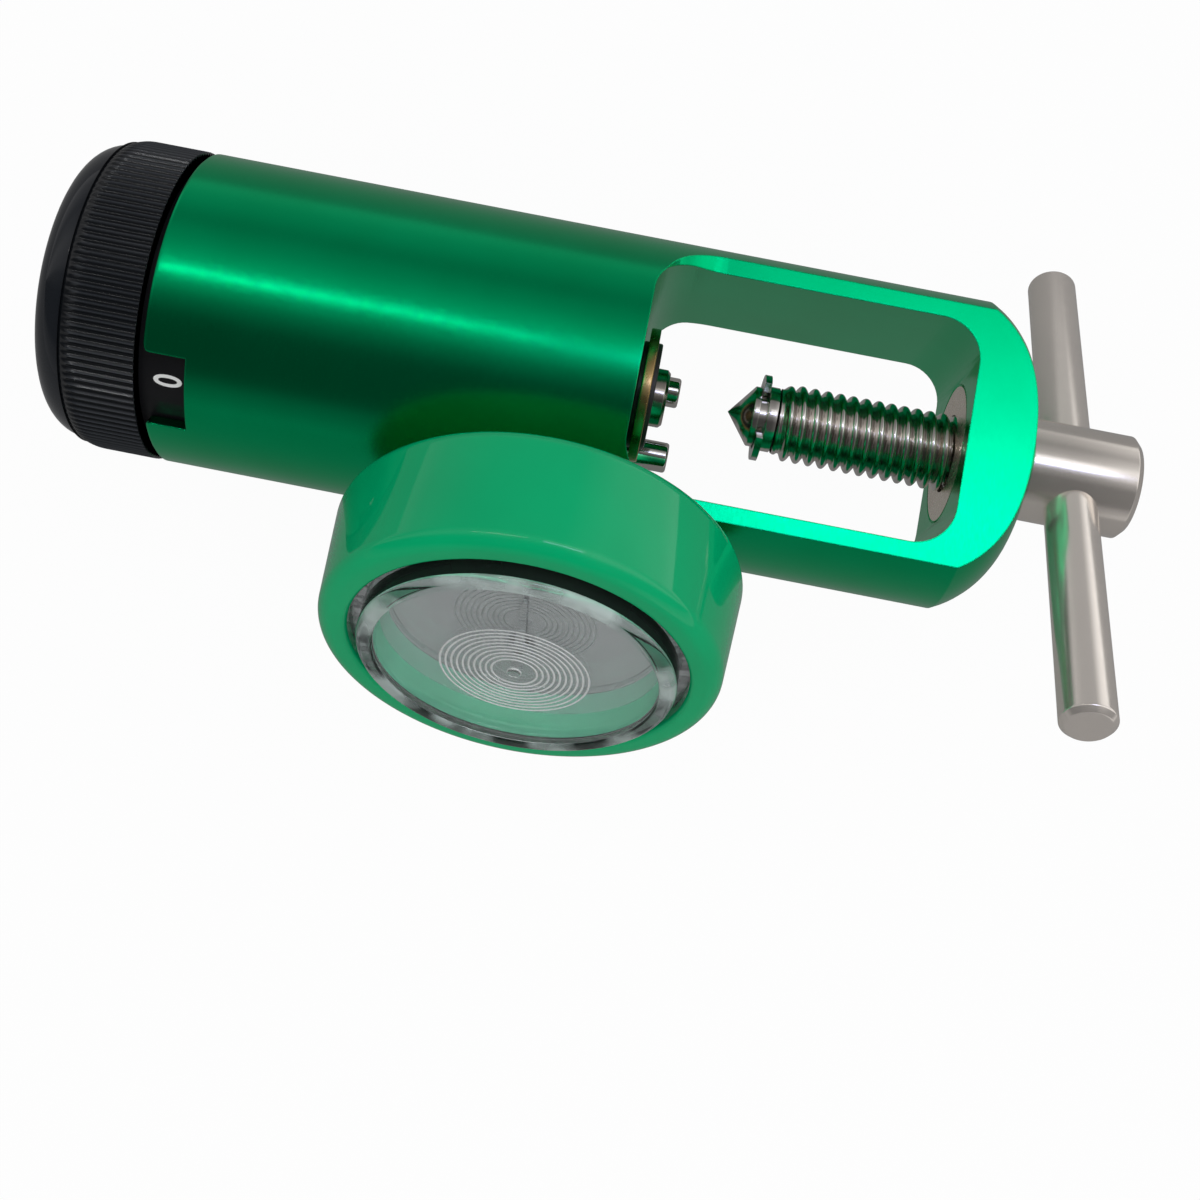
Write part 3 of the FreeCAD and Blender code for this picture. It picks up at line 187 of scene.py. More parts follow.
def exact_normals(piece, normal_at):
    """Gives each corner that lies on a surface of known shape that surface's own normal; the rest keep theirs.
    normal_at takes the corners' places in millimetres and the way their faces point, and returns which are on
    it, and the normals there."""
    mesh = piece.data
    count = len(mesh.loops)
    normals = np.zeros(3 * count)
    mesh.corner_normals.foreach_get("vector", normals)
    normals = normals.reshape(-1, 3)
    corner = np.zeros(count, int)
    mesh.loops.foreach_get("vertex_index", corner)
    place = np.zeros(3 * len(mesh.vertices))
    mesh.vertices.foreach_get("co", place)
    sides = np.zeros(len(mesh.polygons), int)
    mesh.polygons.foreach_get("loop_total", sides)
    facing = np.zeros(3 * len(mesh.polygons))
    mesh.polygons.foreach_get("normal", facing)
    facing = np.repeat(facing.reshape(-1, 3), sides, axis=0)
    on, exact = normal_at(place.reshape(-1, 3)[corner] / MM, facing)
    normals[on] = exact[on]
    mesh.normals_split_custom_set(normals.tolist())
    return piece


def barrel_normals(place, facing):
    """The barrel's normal points straight out from its axis; the yoke's dome has the normal of its arc, whose
    centre is given in x and radius; the rim's chamfer looks rolled, leaning 18 degrees to the left."""
    near, overlap, aligned = 0.02, 0.01, 0.95
    x = place[:, 0]
    radius = np.hypot(place[:, 1], place[:, 2])
    out = np.stack([np.zeros_like(radius), place[:, 1] / radius, place[:, 2] / radius], 1)
    barrel = (np.abs(radius - BARREL_R) < near) & (x < DOME_START_X + overlap)
    rise, reach = x - DOME_CENTRE_X, radius - DOME_CENTRE_R
    dome = (np.abs(np.hypot(rise, reach) - DOME_ARC_R) < near) & (x > DOME_START_X - overlap)
    arc = out * (reach / DOME_ARC_R)[:, None]
    arc[:, 0] = rise / DOME_ARC_R
    slanted = (facing[:, 0] < -0.5) & (facing[:, 0] > -0.9)
    rim = (x < RIM_CHAMFER_X) & (radius > RIM_CHAMFER_R) & slanted
    rolled = 0.95 * out
    rolled[:, 0] = -0.31
    exact = np.where(dome[:, None] & ~barrel[:, None], arc, out)
    even = (barrel | dome) & (np.sum(facing * exact, 1) > aligned)
    return even | rim, np.where(rim[:, None], rolled, exact)


def dress(piece, body, material, slot, *nodes):
    """Gives a piece its material and its body, and hides the CAD nodes that it stands for; slot is not used."""
    piece.data.materials.clear()
    piece.data.materials.append(material)
    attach(piece, body)
    if nodes:
        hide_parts(*nodes)
    return piece


def join(name, pieces):
    """One object from several."""
    with bpy.context.temp_override(active_object=pieces[0], object=pieces[0], selected_objects=pieces,
                                   selected_editable_objects=pieces):
        bpy.ops.object.join()
    pieces[0].name = name
    return pieces[0]


# Materials


class Nodes:
    """Short names for building one material's node tree."""

    def __init__(self, name):
        self.material = bpy.data.materials.new(name)
        self.material.use_nodes = True
        self.tree = self.material.node_tree
        self.shader = self.tree.nodes["Principled BSDF"]

    def add(self, kind, **values):
        """A node of this kind; values are attributes, or input sockets by name."""
        node = self.tree.nodes.new(kind)
        for key, value in values.items():
            if hasattr(node, key):
                setattr(node, key, value)
            else:
                node.inputs[key.replace("_", " ")].default_value = value
        return node

    def link(self, source, target):
        self.tree.links.new(source, target)
        return target

    def set(self, **values):
        """Constant values straight on the shader's sockets."""
        for key, value in values.items():
            self.shader.inputs[key.replace("_", " ")].default_value = value

    def place(self, scale):
        """Object coordinates, scaled per axis."""
        coordinates = self.add("ShaderNodeTexCoord")
        mapping = self.add("ShaderNodeMapping")
        mapping.inputs["Scale"].default_value = scale
        self.link(coordinates.outputs["Object"], mapping.inputs["Vector"])
        return mapping.outputs["Vector"]

    def noise(self, scale, detail=3.0, stretch=(1.0, 1.0, 1.0)):
        """Noise from 0 to 1 over the object, per metre."""
        noise = self.add("ShaderNodeTexNoise")
        noise.inputs["Scale"].default_value = scale
        noise.inputs["Detail"].default_value = detail
        self.link(self.place(stretch), noise.inputs["Vector"])
        return noise.outputs["Fac"]

    def spread(self, source, low, high, start=0.3, end=0.7):
        """Map a value from one range to another."""
        ranger = self.add("ShaderNodeMapRange")
        for key, value in (("From Min", start), ("From Max", end), ("To Min", low), ("To Max", high)):
            ranger.inputs[key].default_value = value
        self.link(source, ranger.inputs["Value"])
        return ranger.outputs["Result"]

    def colours(self, source, low, high):
        """Mix of two colours."""
        mix = self.add("ShaderNodeMix", data_type="RGBA")
        mix.inputs[6].default_value = (*low, 1.0)
        mix.inputs[7].default_value = (*high, 1.0)
        self.link(source, mix.inputs[0])
        return mix.outputs[2]

    def bump(self, height, strength, distance, edge=0.0):
        """Bump on the shader's normal, over rounded edges where an edge radius is given."""
        bump = self.add("ShaderNodeBump")
        bump.inputs["Strength"].default_value = strength
        bump.inputs["Distance"].default_value = distance
        self.link(height, bump.inputs["Height"])
        if edge > 0.0:
            bevel = self.add("ShaderNodeBevel", samples=4)
            bevel.inputs["Radius"].default_value = edge
            self.link(bevel.outputs["Normal"], bump.inputs["Normal"])
        self.link(bump.outputs["Normal"], self.shader.inputs["Normal"])


def metal(name, low, high, roughness, grain=900.0, stretch=(1.0, 1.0, 1.0), bump=0.12, edge=0.0, depth=0.00003,
          metallic=1.0):
    """Metal with a tint that drifts between two colours, and a fine grain stretched along its cut. Below 1,
    metallic leaves part of it matt, as a blasted or oiled surface is."""
    made = Nodes(name)
    made.set(Metallic=metallic)
    made.link(made.colours(made.spread(made.noise(70.0), 0.0, 1.0), low, high), made.shader.inputs["Base Color"])
    fine = made.noise(grain, 4.0, stretch)
    made.link(made.spread(fine, roughness[0], roughness[1]), made.shader.inputs["Roughness"])
    made.bump(fine, bump, depth, edge)
    return made.material


def plain(name, low, high, roughness, grain=600.0, bump=0.1, coat=0.0, specular=0.5, depth=0.00005, edge=0.0):
    """Plastic, rubber or lacquer with a slight drift of colour and a fine moulded grain."""
    made = Nodes(name)
    made.set(Metallic=0.0, Coat_Weight=coat, Coat_Roughness=0.08, Specular_IOR_Level=specular)
    made.link(made.colours(made.spread(made.noise(60.0), 0.0, 1.0), low, high), made.shader.inputs["Base Color"])
    fine = made.noise(grain, 4.0)
    made.link(made.spread(fine, roughness[0], roughness[1]), made.shader.inputs["Roughness"])
    made.bump(fine, bump, depth, edge)
    return made.material


# Sizes and colours that a user would change


class RegulatorBody(bpy.types.PropertyGroup):
    green: tint("Anodised green", "Colour of the anodised barrel and yoke", (0.0, 0.58, 0.21))
    green_deep: tint("Deep green", "Darker drift of the anodised colour", (0.0, 0.52, 0.18))
    edge: size("Edge rounding", "How far machined edges look broken", 0.25)


class RegulatorKnob(bpy.types.PropertyGroup):
    radius: size("Knob radius", "Over the rib crests", 19.05)
    ribs: IntProperty(name="Ribs", description="How many ribs run round the knob", default=126, min=12)
    depth: size("Rib depth", "Height of a rib over its valleys", 0.4)
    black: tint("Knob black", "Colour of the knob", (0.009, 0.011, 0.014))
    white: tint("Number white", "Colour of the flow numbers", (0.78, 0.78, 0.76))


class RegulatorClamp(bpy.types.PropertyGroup):
    radius: size("Thread radius", "Over the thread's crests", 4.7625)
    pitch: size("Thread pitch", "From crest to crest", 1.5875)
    depth: size("Thread depth", "From crest to root", 0.86)
    steel: tint("Screw steel", "Colour of the clamp screw", (0.70, 0.66, 0.62))
    handle: tint("Handle steel", "Colour of the T handle", (0.93, 0.86, 0.79))


class RegulatorGauge(bpy.types.PropertyGroup):
    place: FloatProperty(name="Place along X", description="Gauge axis on the barrel", default=-7.0 * MM,
                         unit="LENGTH")
    lean: FloatProperty(name="Lean", description="Gauge axis from straight up towards -Y",
                        default=math.radians(63.7), subtype="ANGLE")
    boot: tint("Boot green", "Colour of the rubber boot", (0.0, 0.39, 0.145))
    rings: IntProperty(name="Rings", description="Turned rings on the window", default=10, min=1)
    ring_outer: size("Outer ring radius", "Largest turned ring on the window", 8.18)
    ring_inner: size("Inner ring radius", "Smallest turned ring on the window", 2.5)


class RegulatorStage(bpy.types.PropertyGroup):
    focal: FloatProperty(name="Focal length", description="Camera focal length in millimetres", default=47.686,
                         min=1.0)
    key: FloatProperty(name="Key light", description="Power of the long soft light", default=0.135, min=0.0,
                       unit="POWER")
    end: FloatProperty(name="End light", description="Power of the soft light over the yoke", default=0.10, min=0.0,
                       unit="POWER")
    arm: FloatProperty(name="Arm light", description="Power of the light over the yoke's front arm", default=0.24,
                       min=0.0, unit="POWER")
    fill: FloatProperty(name="Fill light", description="Power of the broad light from the camera's side", default=2.6,
                        min=0.0, unit="POWER")
    room: FloatProperty(name="Room", description="Brightness of the studio around the object", default=1.0, min=0.0)


class RegulatorSettings(bpy.types.PropertyGroup):
    body: PointerProperty(type=RegulatorBody)
    knob: PointerProperty(type=RegulatorKnob)
    clamp: PointerProperty(type=RegulatorClamp)
    gauge: PointerProperty(type=RegulatorGauge)
    stage: PointerProperty(type=RegulatorStage)


def settings():
    """The scene's regulator settings."""
    return bpy.context.scene.regulator


# Pieces


class REGULATOR_OT_body(bpy.types.Operator):
    """Green anodised barrel and yoke, with the bush in its end wall"""
    bl_idname = "regulator.body"
    bl_label = "Barrel and yoke"

    def execute(self, context):
        s = settings().body
        green = metal("anodised_green", tuple(s.green_deep), tuple(s.green), (0.20, 0.25), 900.0, (14.0, 1.0, 1.0),
                      0.02, s.edge)
        barrel = exact_normals(smooth_copy("body", 20.0), barrel_normals)
        dress(barrel, "housing", green, "green_anodised", "body")
        bush = metal("bush_steel", (0.86, 0.74, 0.63), (0.95, 0.84, 0.72), (0.22, 0.34), 1200.0, metallic=0.9)
        dress(smooth_copy("yoke_bush"), "housing", bush, "bush_steel", "yoke_bush")
        return {"FINISHED"}


class REGULATOR_OT_knob(bpy.types.Operator):
    """Ribbed black flow knob and the number ring under it"""
    bl_idname = "regulator.knob"
    bl_label = "Flow knob"

    def execute(self, context):
        s = settings().knob
        black = self.ribbed_black(s)
        grip, dome = self.shell(s)
        dress(grip, "flow_knob", black, "knob_black", "flow_knob")
        polish = plain("dome_black", tuple(s.black), (0.012, 0.014, 0.018), (0.06, 0.10), 900.0, 0.01)
        dress(dome, "flow_knob", polish, "knob_black")
        ring = plain("ring_black", (0.006, 0.006, 0.007), (0.009, 0.009, 0.010), (0.30, 0.40), 900.0, 0.05,
                     specular=0.2)
        dress(smooth_copy("number_ring"), "flow_knob", ring, "number_black", "number_ring")
        white = plain("number_white", tuple(s.white), (0.82, 0.82, 0.80), (0.4, 0.5))
        dress(self.numbers(s), "flow_knob", white, "number_black")
        return {"FINISHED"}

    def ribbed_black(self, s):
        """Black plastic with a painted highlight that makes the crests of the ribs paler, and painted shade that
        makes their
        valleys darker: the colour follows the distance from the axis."""
        made = Nodes("knob_black")
        made.set(Metallic=0.0, Specular_IOR_Level=0.5)
        reach = made.add("ShaderNodeVectorMath", operation="LENGTH")
        made.link(made.place((0.0, 1.0, 1.0)), reach.inputs[0])
        # Painted highlight on the rib crests and painted shade in the valleys, mixed by the distance from the axis
        crest = made.spread(reach.outputs["Value"], 0.0, 1.0, s.radius - 0.7 * s.depth, s.radius)
        made.link(made.colours(crest, tuple(0.5 * c for c in s.black), (0.040, 0.044, 0.050)),
                  made.shader.inputs["Base Color"])
        made.link(made.spread(made.noise(900.0, 4.0), 0.14, 0.2), made.shader.inputs["Roughness"])
        return made.material

    def shell(self, s):
        """Grip and dome, turned about X with h measured to the left of the knob's face. Ribs: the radius is the
        outline's less depth * share, share = |sin(ribs * a / 2)|, over the grip but not over its rounded ends."""
        outer, depth = round(s.radius / MM, 4), s.depth / MM
        bore, overhang, grip_end, dome_end = NUMBER_RING_R, 0.35, 8.6, 12.7
        ribs_start, ribs_end, foot, dome_r = 0.6, 6.0, 17.6, outer - 0.88
        steps = 8
        grip = rounded([(-overhang, bore), (-overhang, outer, 0.15), (10.7, outer, 4.5), (10.7, 12.0)], 14)
        grip = grip[grip[:, 0] < grip_end]
        grip = grip[np.argsort(grip[:, 0], kind="stable")]
        split = np.searchsorted(grip[:, 0], 0.0)
        run = np.linspace(ribs_start, ribs_end, 6)
        flat = np.stack([run, np.full_like(run, outer)], 1)
        beyond = grip[split:][grip[split:, 0] > ribs_end + 0.05]
        grip = np.concatenate([grip[:split], flat, beyond])
        dome = rounded([(grip_end, dome_r), (dome_end, dome_r, 4.0999), (dome_end, 0.0)], 14)
        face = rounded([(grip_end, 18.6), (grip_end, 18.17)], 2)
        back = np.array([[-overhang, 19.0], [-overhang, bore], [4.0, bore], [4.0, 5.0], [0.0, 5.0], [0.0, 3.0]])
        angle = np.linspace(0.0, 2.0 * math.pi, s.ribs * steps, endpoint=False)
        share = np.abs(np.sin(0.5 * s.ribs * angle))
        d, u, w = basis((-1, 0, 0), (0, 1, 0))
        around = np.cos(angle)[:, None] * u + np.sin(angle)[:, None] * w
        start = np.array([KNOB_FACE_X, 0.0, 0.0])

        def turned(outline, ways):
            return start + outline[:, 0, None, None] * d + outline[:, 1, None, None] * ways[None]

        cut = np.where(grip[:, 1] > foot, depth, 0.0)[:, None] * share[None]
        radius = np.minimum(grip[:, 1, None], outer - cut)
        ribbed = start + grip[:, 0, None, None] * d + radius[:, :, None] * around[None]
        parts = [grid_mesh("knob_grip", ribbed, close_v=True),
                 grid_mesh("knob_lip", turned(face, around), close_v=True),
                 grid_mesh("knob_back", turned(back, around[::4]), close_v=True, flip=True)]
        return join("flow_knob_grip", parts), grid_mesh("flow_knob_dome", turned(dome, around[::4]), close_v=True)

    def numbers(self, s):
        """Flow numbers laid on the ring: each flat point (u, v) goes to x = place + v and
        angle = first + apart * i + narrow * u / r."""
        ring_r = NUMBER_RING_R + 0.03
        place, first, narrow = -52.9, -44.0, 0.74
        labels = ["0", "1/2", "1", "2", "3", "4", "5", "6", "8", "10", "15", "25"]
        apart = 360.0 / len(labels)
        made = []
        for i, label in enumerate(labels):
            text = bpy.data.curves.new("number_" + str(i), "FONT")
            text.body = label
            text.align_x = "CENTER"
            text.align_y = "CENTER"
            text.size = 4.6 if len(label) == 1 else 3.4
            text.resolution_u = 6
            text.offset = 0.07
            curve = bpy.data.objects.new("number_" + str(i), text)
            bpy.context.scene.collection.objects.link(curve)
            bpy.context.view_layer.update()
            mesh = bpy.data.meshes.new_from_object(curve.evaluated_get(bpy.context.evaluated_depsgraph_get()))
            bpy.data.objects.remove(curve)
            co = np.zeros(len(mesh.vertices) * 3)
            mesh.vertices.foreach_get("co", co)
            co = co.reshape(-1, 3)
            angle = math.radians(first + apart * i) + narrow * co[:, 0] / ring_r
            out = np.stack([place + co[:, 1], ring_r * np.sin(angle), ring_r * np.cos(angle)], 1) * MM
            mesh.vertices.foreach_set("co", out.ravel())
            mesh.update()
            made.append(bpy.data.objects.new("number_" + str(i), mesh))
            bpy.context.scene.collection.objects.link(made[-1])
        return join("flow_numbers", made)


class REGULATOR_OT_clamp(bpy.types.Operator):
    """Clamp screw with its real thread, the clip and the T handle"""
    bl_idname = "regulator.clamp"
    bl_label = "Clamp screw and T handle"

    def execute(self, context):
        s = settings().clamp
        steel = metal("screw_steel", tuple(0.85 * c for c in s.steel), tuple(s.steel), (0.13, 0.18), 900.0,
                      (3.0, 1.0, 1.0), 0.01)
        dress(self.screw(s), "clamp", steel, "screw_steel", "clamp_screw")
        clip = metal("clip_steel", (0.60, 0.59, 0.56), (0.68, 0.67, 0.64), (0.15, 0.24), 1200.0, edge=0.00012)
        dress(smooth_copy("retaining_clip"), "clamp_carrier", clip, "clip_steel", "retaining_clip")
        handle = metal("handle_steel", tuple(0.95 * c for c in s.handle), tuple(s.handle), (0.17, 0.20), 900.0,
                       (8.0, 1.0, 1.0), 0.012, metallic=0.9)
        hub = rounded([(47.8, 5.2), (47.8, 6.35, 0.35), (60.6, 6.35, 0.25), (61.4, 5.55, 0.25), (61.4, 0.0)])
        dress(lathe("tee_hub_surface", hub), "clamp", handle, "stainless", "tee_hub")
        roll = math.radians(-34.3)
        along = (0.0, math.cos(roll), math.sin(roll))
        half, radius, bevel, axis_x = 38.1, 3.175, 0.6, 54.0
        bar = rounded([(-half, 0.0), (-half, radius - bevel, 0.3), (bevel - half, radius, 0.4),
                       (half - bevel, radius, 0.4), (half, radius - bevel, 0.3), (half, 0.0)])
        rod = metal("bar_steel", tuple(0.95 * c for c in s.handle), tuple(s.handle), (0.18, 0.22), 900.0,
                    (1.0, 1.0, 1.0), 0.012, metallic=0.8)
        made = lathe("tee_bar_surface", bar, (axis_x, 0, 0), along, X_AXIS, 96)
        dress(made, "clamp", rod, "stainless", "tee_bar")
        return {"FINISHED"}

    def screw(self, s):
        """Thread: radius(x, a) = crest - depth * dip(x / pitch - a / 2 pi), where dip = 1 - cos(t) as t goes from 0
        at the round crest to a quarter turn at the sharp root. It fades in over its lead; the rest is a turned
        outline."""
        crest, depth, pitch = s.radius / MM, s.depth / MM, s.pitch / MM
        start, end, neck, lead_length = 17.65, 47.8, 4.0, 1.4
        front = rounded([(11.6, 0.0), (14.5, 3.7, 0.15), (15.25, 3.7, 0.1), (15.25, 3.0), (16.15, 3.0),
                         (16.15, neck, 0.1), (start, neck, 0.1)], 4)
        tip = lathe("screw_tip", front, segments=96)
        rows = np.arange(start, end, pitch / 20.0)
        angle = np.linspace(0.0, 2.0 * math.pi, 72, endpoint=False)
        phase = (rows[:, None] - start) / pitch - angle[None] / (2.0 * math.pi)
        wave = np.abs(2.0 * (phase - np.floor(phase)) - 1.0)
        dip = 1.0 - np.cos(0.5 * math.pi * np.clip((wave - 0.05) / 0.93, 0.0, 1.0))
        lead = np.clip((rows - start) / lead_length, 0.0, 1.0)[:, None]
        top = neck + (crest - neck) * lead
        radius = np.maximum(top - depth * dip * np.clip(lead * 1.4, 0.0, 1.0), crest - depth)
        around = np.stack([np.zeros_like(angle), np.cos(angle), np.sin(angle)], 1)
        points = rows[:, None, None] * np.array(X_AXIS) + radius[:, :, None] * around[None]
        thread = grid_mesh("screw_thread", points, close_v=True)
        return join("clamp_screw_surface", [tip, thread])


class REGULATOR_OT_inlet(bpy.types.Operator):
    """Nipple, seal washer and index pins on the inlet face"""
    bl_idname = "regulator.inlet"
    bl_label = "Inlet"

    def execute(self, context):
        nickel = metal("nipple_nickel", (0.42, 0.38, 0.33), (0.52, 0.47, 0.42), (0.12, 0.2), 1200.0)
        nipple = rounded([(0.0, 5.5), (0.0, 3.6), (3.5, 3.6, 0.15), (3.9, 3.2, 0.15), (3.9, 2.2, 0.1), (3.4, 2.2)])
        dress(lathe("inlet_nipple_surface", nipple, segments=96), "housing", nickel, "nickel", "inlet_nipple")
        bronze = metal("filter_bronze", (0.25, 0.17, 0.09), (0.42, 0.29, 0.15), (0.5, 0.7), 2600.0, bump=0.8,
                       depth=0.0001)
        dress(smooth_copy("inlet_filter"), "housing", bronze, "bronze", "inlet_filter")
        brass = metal("seal_brass", (0.42, 0.27, 0.11), (0.56, 0.38, 0.16), (0.22, 0.34), 900.0)
        ring = rounded([(0.55, 4.6), (0.55, 8.3, 0.2), (1.75, 8.3, 0.2), (1.75, 4.6)])
        dress(lathe("seal_ring_surface", ring, segments=128), "housing", brass, "brass", "seal_ring")
        black = plain("seal_black", (0.012, 0.012, 0.012), (0.022, 0.021, 0.020), (0.35, 0.5), 1500.0)
        rubber = rounded([(0.0, 3.75), (0.0, 6.6, 0.2), (0.55, 6.6), (0.55, 4.7), (1.75, 4.7), (1.75, 6.6),
                          (2.3, 6.6, 0.25), (2.3, 3.75, 0.1), (1.2, 3.75)])
        dress(lathe("seal_rubber_surface", rubber, segments=128), "housing", black, "seal_rubber_black",
              "seal_rubber")
        steel = metal("pin_steel", (0.55, 0.53, 0.50), (0.66, 0.64, 0.60), (0.08, 0.14), 900.0)
        for node, y in (("index_pin_front", -INLET_PIN_Y), ("index_pin_rear", INLET_PIN_Y)):
            pin = rounded([(0.0, 1.98), (5.7, 1.98, 0.4), (5.7, 0.0)], 8)
            made = lathe(node + "_surface", pin, (0.0, y, INLET_PIN_Z), segments=64)
            dress(made, "housing", steel, "pin_steel", node)
        return {"FINISHED"}


def gauge_axis():
    """Origin and direction of the gauge, from the barrel's axis."""
    s = settings().gauge
    return (s.place / MM, 0.0, 0.0), (0.0, -math.sin(s.lean), math.cos(s.lean))


class REGULATOR_OT_gauge(bpy.types.Operator):
    """Contents gauge: boot, case, clear window, dial and pointer"""
    bl_idname = "regulator.gauge"
    bl_label = "Contents gauge"

    def execute(self, context):
        s = settings().gauge
        origin, axis = gauge_axis()

        def turn(name, corners, segments=192, steps=6, closed=False):
            return lathe(name, rounded(corners, steps), origin, axis, X_AXIS, segments, closed)

        rubber = plain("boot_rubber", tuple(s.boot), (0.0, 0.43, 0.16), (0.04, 0.06), 900.0, 0.005, specular=0.4)
        boot = [(26.4, 8.0, 0.3), (26.4, 23.3, 1.5), (40.3, 22.2, 1.9), (40.3, 18.8, 0.6), (38.85, 18.8),
                (38.85, 20.05), (27.55, 20.05), (27.55, 8.0)]
        dress(turn("gauge_boot_surface", boot, 224, 10, True), "housing", rubber, "boot_green", "gauge_boot")
        steel = metal("case_steel", (0.40, 0.40, 0.39), (0.50, 0.50, 0.49), (0.18, 0.26), 900.0)
        dress(smooth_copy("gauge_case"), "housing", steel, "case_steel", "gauge_case")
        window = dress(self.window(turn), "housing", self.clear(), "window_clear", "gauge_window")
        window.visible_shadow = False
        # The clear window's outer wall is painted near black: a painted reflection of the dark surroundings, not a
        # dark part
        wall = turn("window_wall", [(38.8, 17.6), (40.9, 17.6)], 224)
        painted_dark_reflection = plain("window_wall_painted_reflection", (0.010, 0.016, 0.013), (0.018, 0.026, 0.022), (0.02, 0.04), 900.0, 0.0)
        dress(wall, "housing", painted_dark_reflection, "window_clear")
        rim = turn("window_rim", [(40.9, 17.6), (41.7, 17.6, 0.79), (41.7, 15.7, 0.3), (41.5, 15.7)], 224, 8)
        pale = self.frosted("window_rim_pale", (0.80, 0.94, 0.89), (0.02, 0.08), (0.55, 1.0))
        dress(rim, "housing", pale, "window_clear").visible_shadow = False
        inner = turn("window_inner", [(39.9, 15.9), (37.2, 15.9)], 224)
        misty = self.frosted("window_inner_misty", (0.26, 0.96, 0.62), (0.35, 0.45), (0.35, 0.4))
        dress(inner, "housing", misty, "window_clear").visible_shadow = False
        cut = self.frosted("window_frosted", (0.93, 0.95, 0.94), (0.35, 0.5), (0.3, 0.4))
        dress(self.turned_rings(s, turn), "housing", cut, "window_clear")
        dial = metal("dial_grey", (0.66, 0.67, 0.69), (0.74, 0.75, 0.77), (0.03, 0.06), 700.0, bump=0.0,
                     metallic=0.75)
        dress(smooth_copy("gauge_dial"), "housing", dial, "dial_grey", "gauge_dial")
        lacquer = metal("pointer_grey", (0.60, 0.61, 0.63), (0.68, 0.69, 0.71), (0.04, 0.08), 700.0, bump=0.0,
                        metallic=0.75)
        dress(smooth_copy("gauge_pointer"), "pointer", lacquer, "pointer_grey", "gauge_pointer")
        return {"FINISHED"}

    def window(self, turn):
        """Cup-shaped clear window, turned: flange, and from the rim's foot the sunk face with its centre pip, and
        the inside. Its wall, rim and bore are surfaces of their own: the wall is painted dark as a painted reflection
        of dark surroundings, and the rim and the bore are each frosted in their own way."""
        flange = turn("window_flange", [(37.2, 15.9), (37.2, 19.9, 0.3), (38.8, 19.9, 0.3), (38.8, 17.6)], 224, 4)
        face = turn("window_face", [(41.5, 15.7), (41.5, 0.75), (41.85, 0.75, 0.2), (41.85, 0.0)], 224, 4)
        inside = turn("window_inside", [(40.2, 0.0), (40.2, 15.9, 0.3), (39.9, 15.9)], 224, 6)
        return join("gauge_window_surface", [flange, face, inside])

    def turned_rings(self, s, turn):
        """Fine raised rings on the window's face: each is a low trapezium turned about the gauge's axis, at radii
        spaced evenly from the inner to the outer one, and a low domed pip stands in their middle."""
        face = 41.5
        made = []
        for i, radius in enumerate(np.linspace(s.ring_inner, s.ring_outer, s.rings) / MM):
            corners = [(face - 0.02, radius - 0.12), (face - 0.02, radius + 0.12), (face + 0.04, radius + 0.06),
                       (face + 0.04, radius - 0.06)]
            made.append(turn("window_ring_" + str(i), corners, 160, 1, True))
        pip = [(face - 0.02, 0.8), (face + 0.15, 1.35, 0.1), (face + 0.15, 0.8)]
        made.append(turn("window_pip", pip, 64, 3, True))
        return join("window_rings", made)

    def clear(self):
        """Clear moulded plastic."""
        made = Nodes("window_clear")
        made.set(Base_Color=(0.97, 1.0, 0.985, 1.0), Roughness=0.02, IOR=1.49, Transmission_Weight=1.0)
        return made.material

    def frosted(self, name, colour, roughness, clearness):
        """The same plastic, whitened in patches where the tool or the mould left it rough."""
        made = Nodes(name)
        made.set(Base_Color=(*colour, 1.0), IOR=1.49)
        patches = made.spread(made.noise(140.0, 2.0), *clearness, 0.42, 0.58)
        made.link(patches, made.shader.inputs["Transmission Weight"])
        made.link(made.spread(made.noise(1500.0, 3.0), *roughness), made.shader.inputs["Roughness"])
        return made.material


class REGULATOR_OT_outlet(bpy.types.Operator):
    """Hose outlet with its washer"""
    bl_idname = "regulator.outlet"
    bl_label = "Hose outlet"

    def execute(self, context):
        nickel = metal("barb_nickel", (0.48, 0.47, 0.45), (0.56, 0.55, 0.53), (0.18, 0.28), 900.0, edge=0.0002)
        dress(smooth_copy("hose_barb"), "housing", nickel, "nickel", "hose_barb")
        nylon = plain("washer_nylon", (0.62, 0.59, 0.50), (0.68, 0.65, 0.56), (0.4, 0.5))
        dress(smooth_copy("outlet_washer"), "housing", nylon, "nylon", "outlet_washer")
        return {"FINISHED"}


class REGULATOR_OT_inner(bpy.types.Operator):
    """Finishes for the pieces inside the barrel and the gauge"""
    bl_idname = "regulator.inner"
    bl_label = "Inner pieces"

    def execute(self, context):
        brass = metal("inner_brass", (0.52, 0.37, 0.14), (0.62, 0.45, 0.18), (0.2, 0.32), 900.0)
        steel = metal("inner_steel", (0.42, 0.41, 0.39), (0.50, 0.49, 0.47), (0.2, 0.3), 900.0)
        bronze = metal("coil_bronze", (0.40, 0.25, 0.12), (0.50, 0.33, 0.17), (0.25, 0.35), 900.0)
        black = plain("inner_rubber", (0.014, 0.014, 0.014), (0.022, 0.022, 0.022), (0.4, 0.5), 1500.0)
        nylon = plain("seat_nylon", (0.66, 0.63, 0.54), (0.72, 0.69, 0.60), (0.4, 0.5))
        groups = {
            brass: ("seat_holder", "piston", "port_block", "bonnet", "gauge_stem", "gauge_bridge"),
            steel: ("orifice_disc", "flow_spindle", "click_spring", "pointer_arbor"),
            bronze: ("pressure_coil",),
            black: ("piston_seal", "stem_seal", "block_seals", "port_seal", "spindle_seal"),
            nylon: ("valve_seat",),
        }
        for material, nodes in groups.items():
            for node in nodes:
                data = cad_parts[node].data
                data.materials.clear()
                data.materials.append(material)
        self.spring(steel)
        return {"FINISHED"}

    def spring(self, steel):
        """The piston's spring: a smooth copy of its CAD node, with a mesh of its own."""
        coil = dress(smooth_copy("piston_spring", 70.0), "housing", steel, "spring_steel", "piston_spring")
        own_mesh(coil)


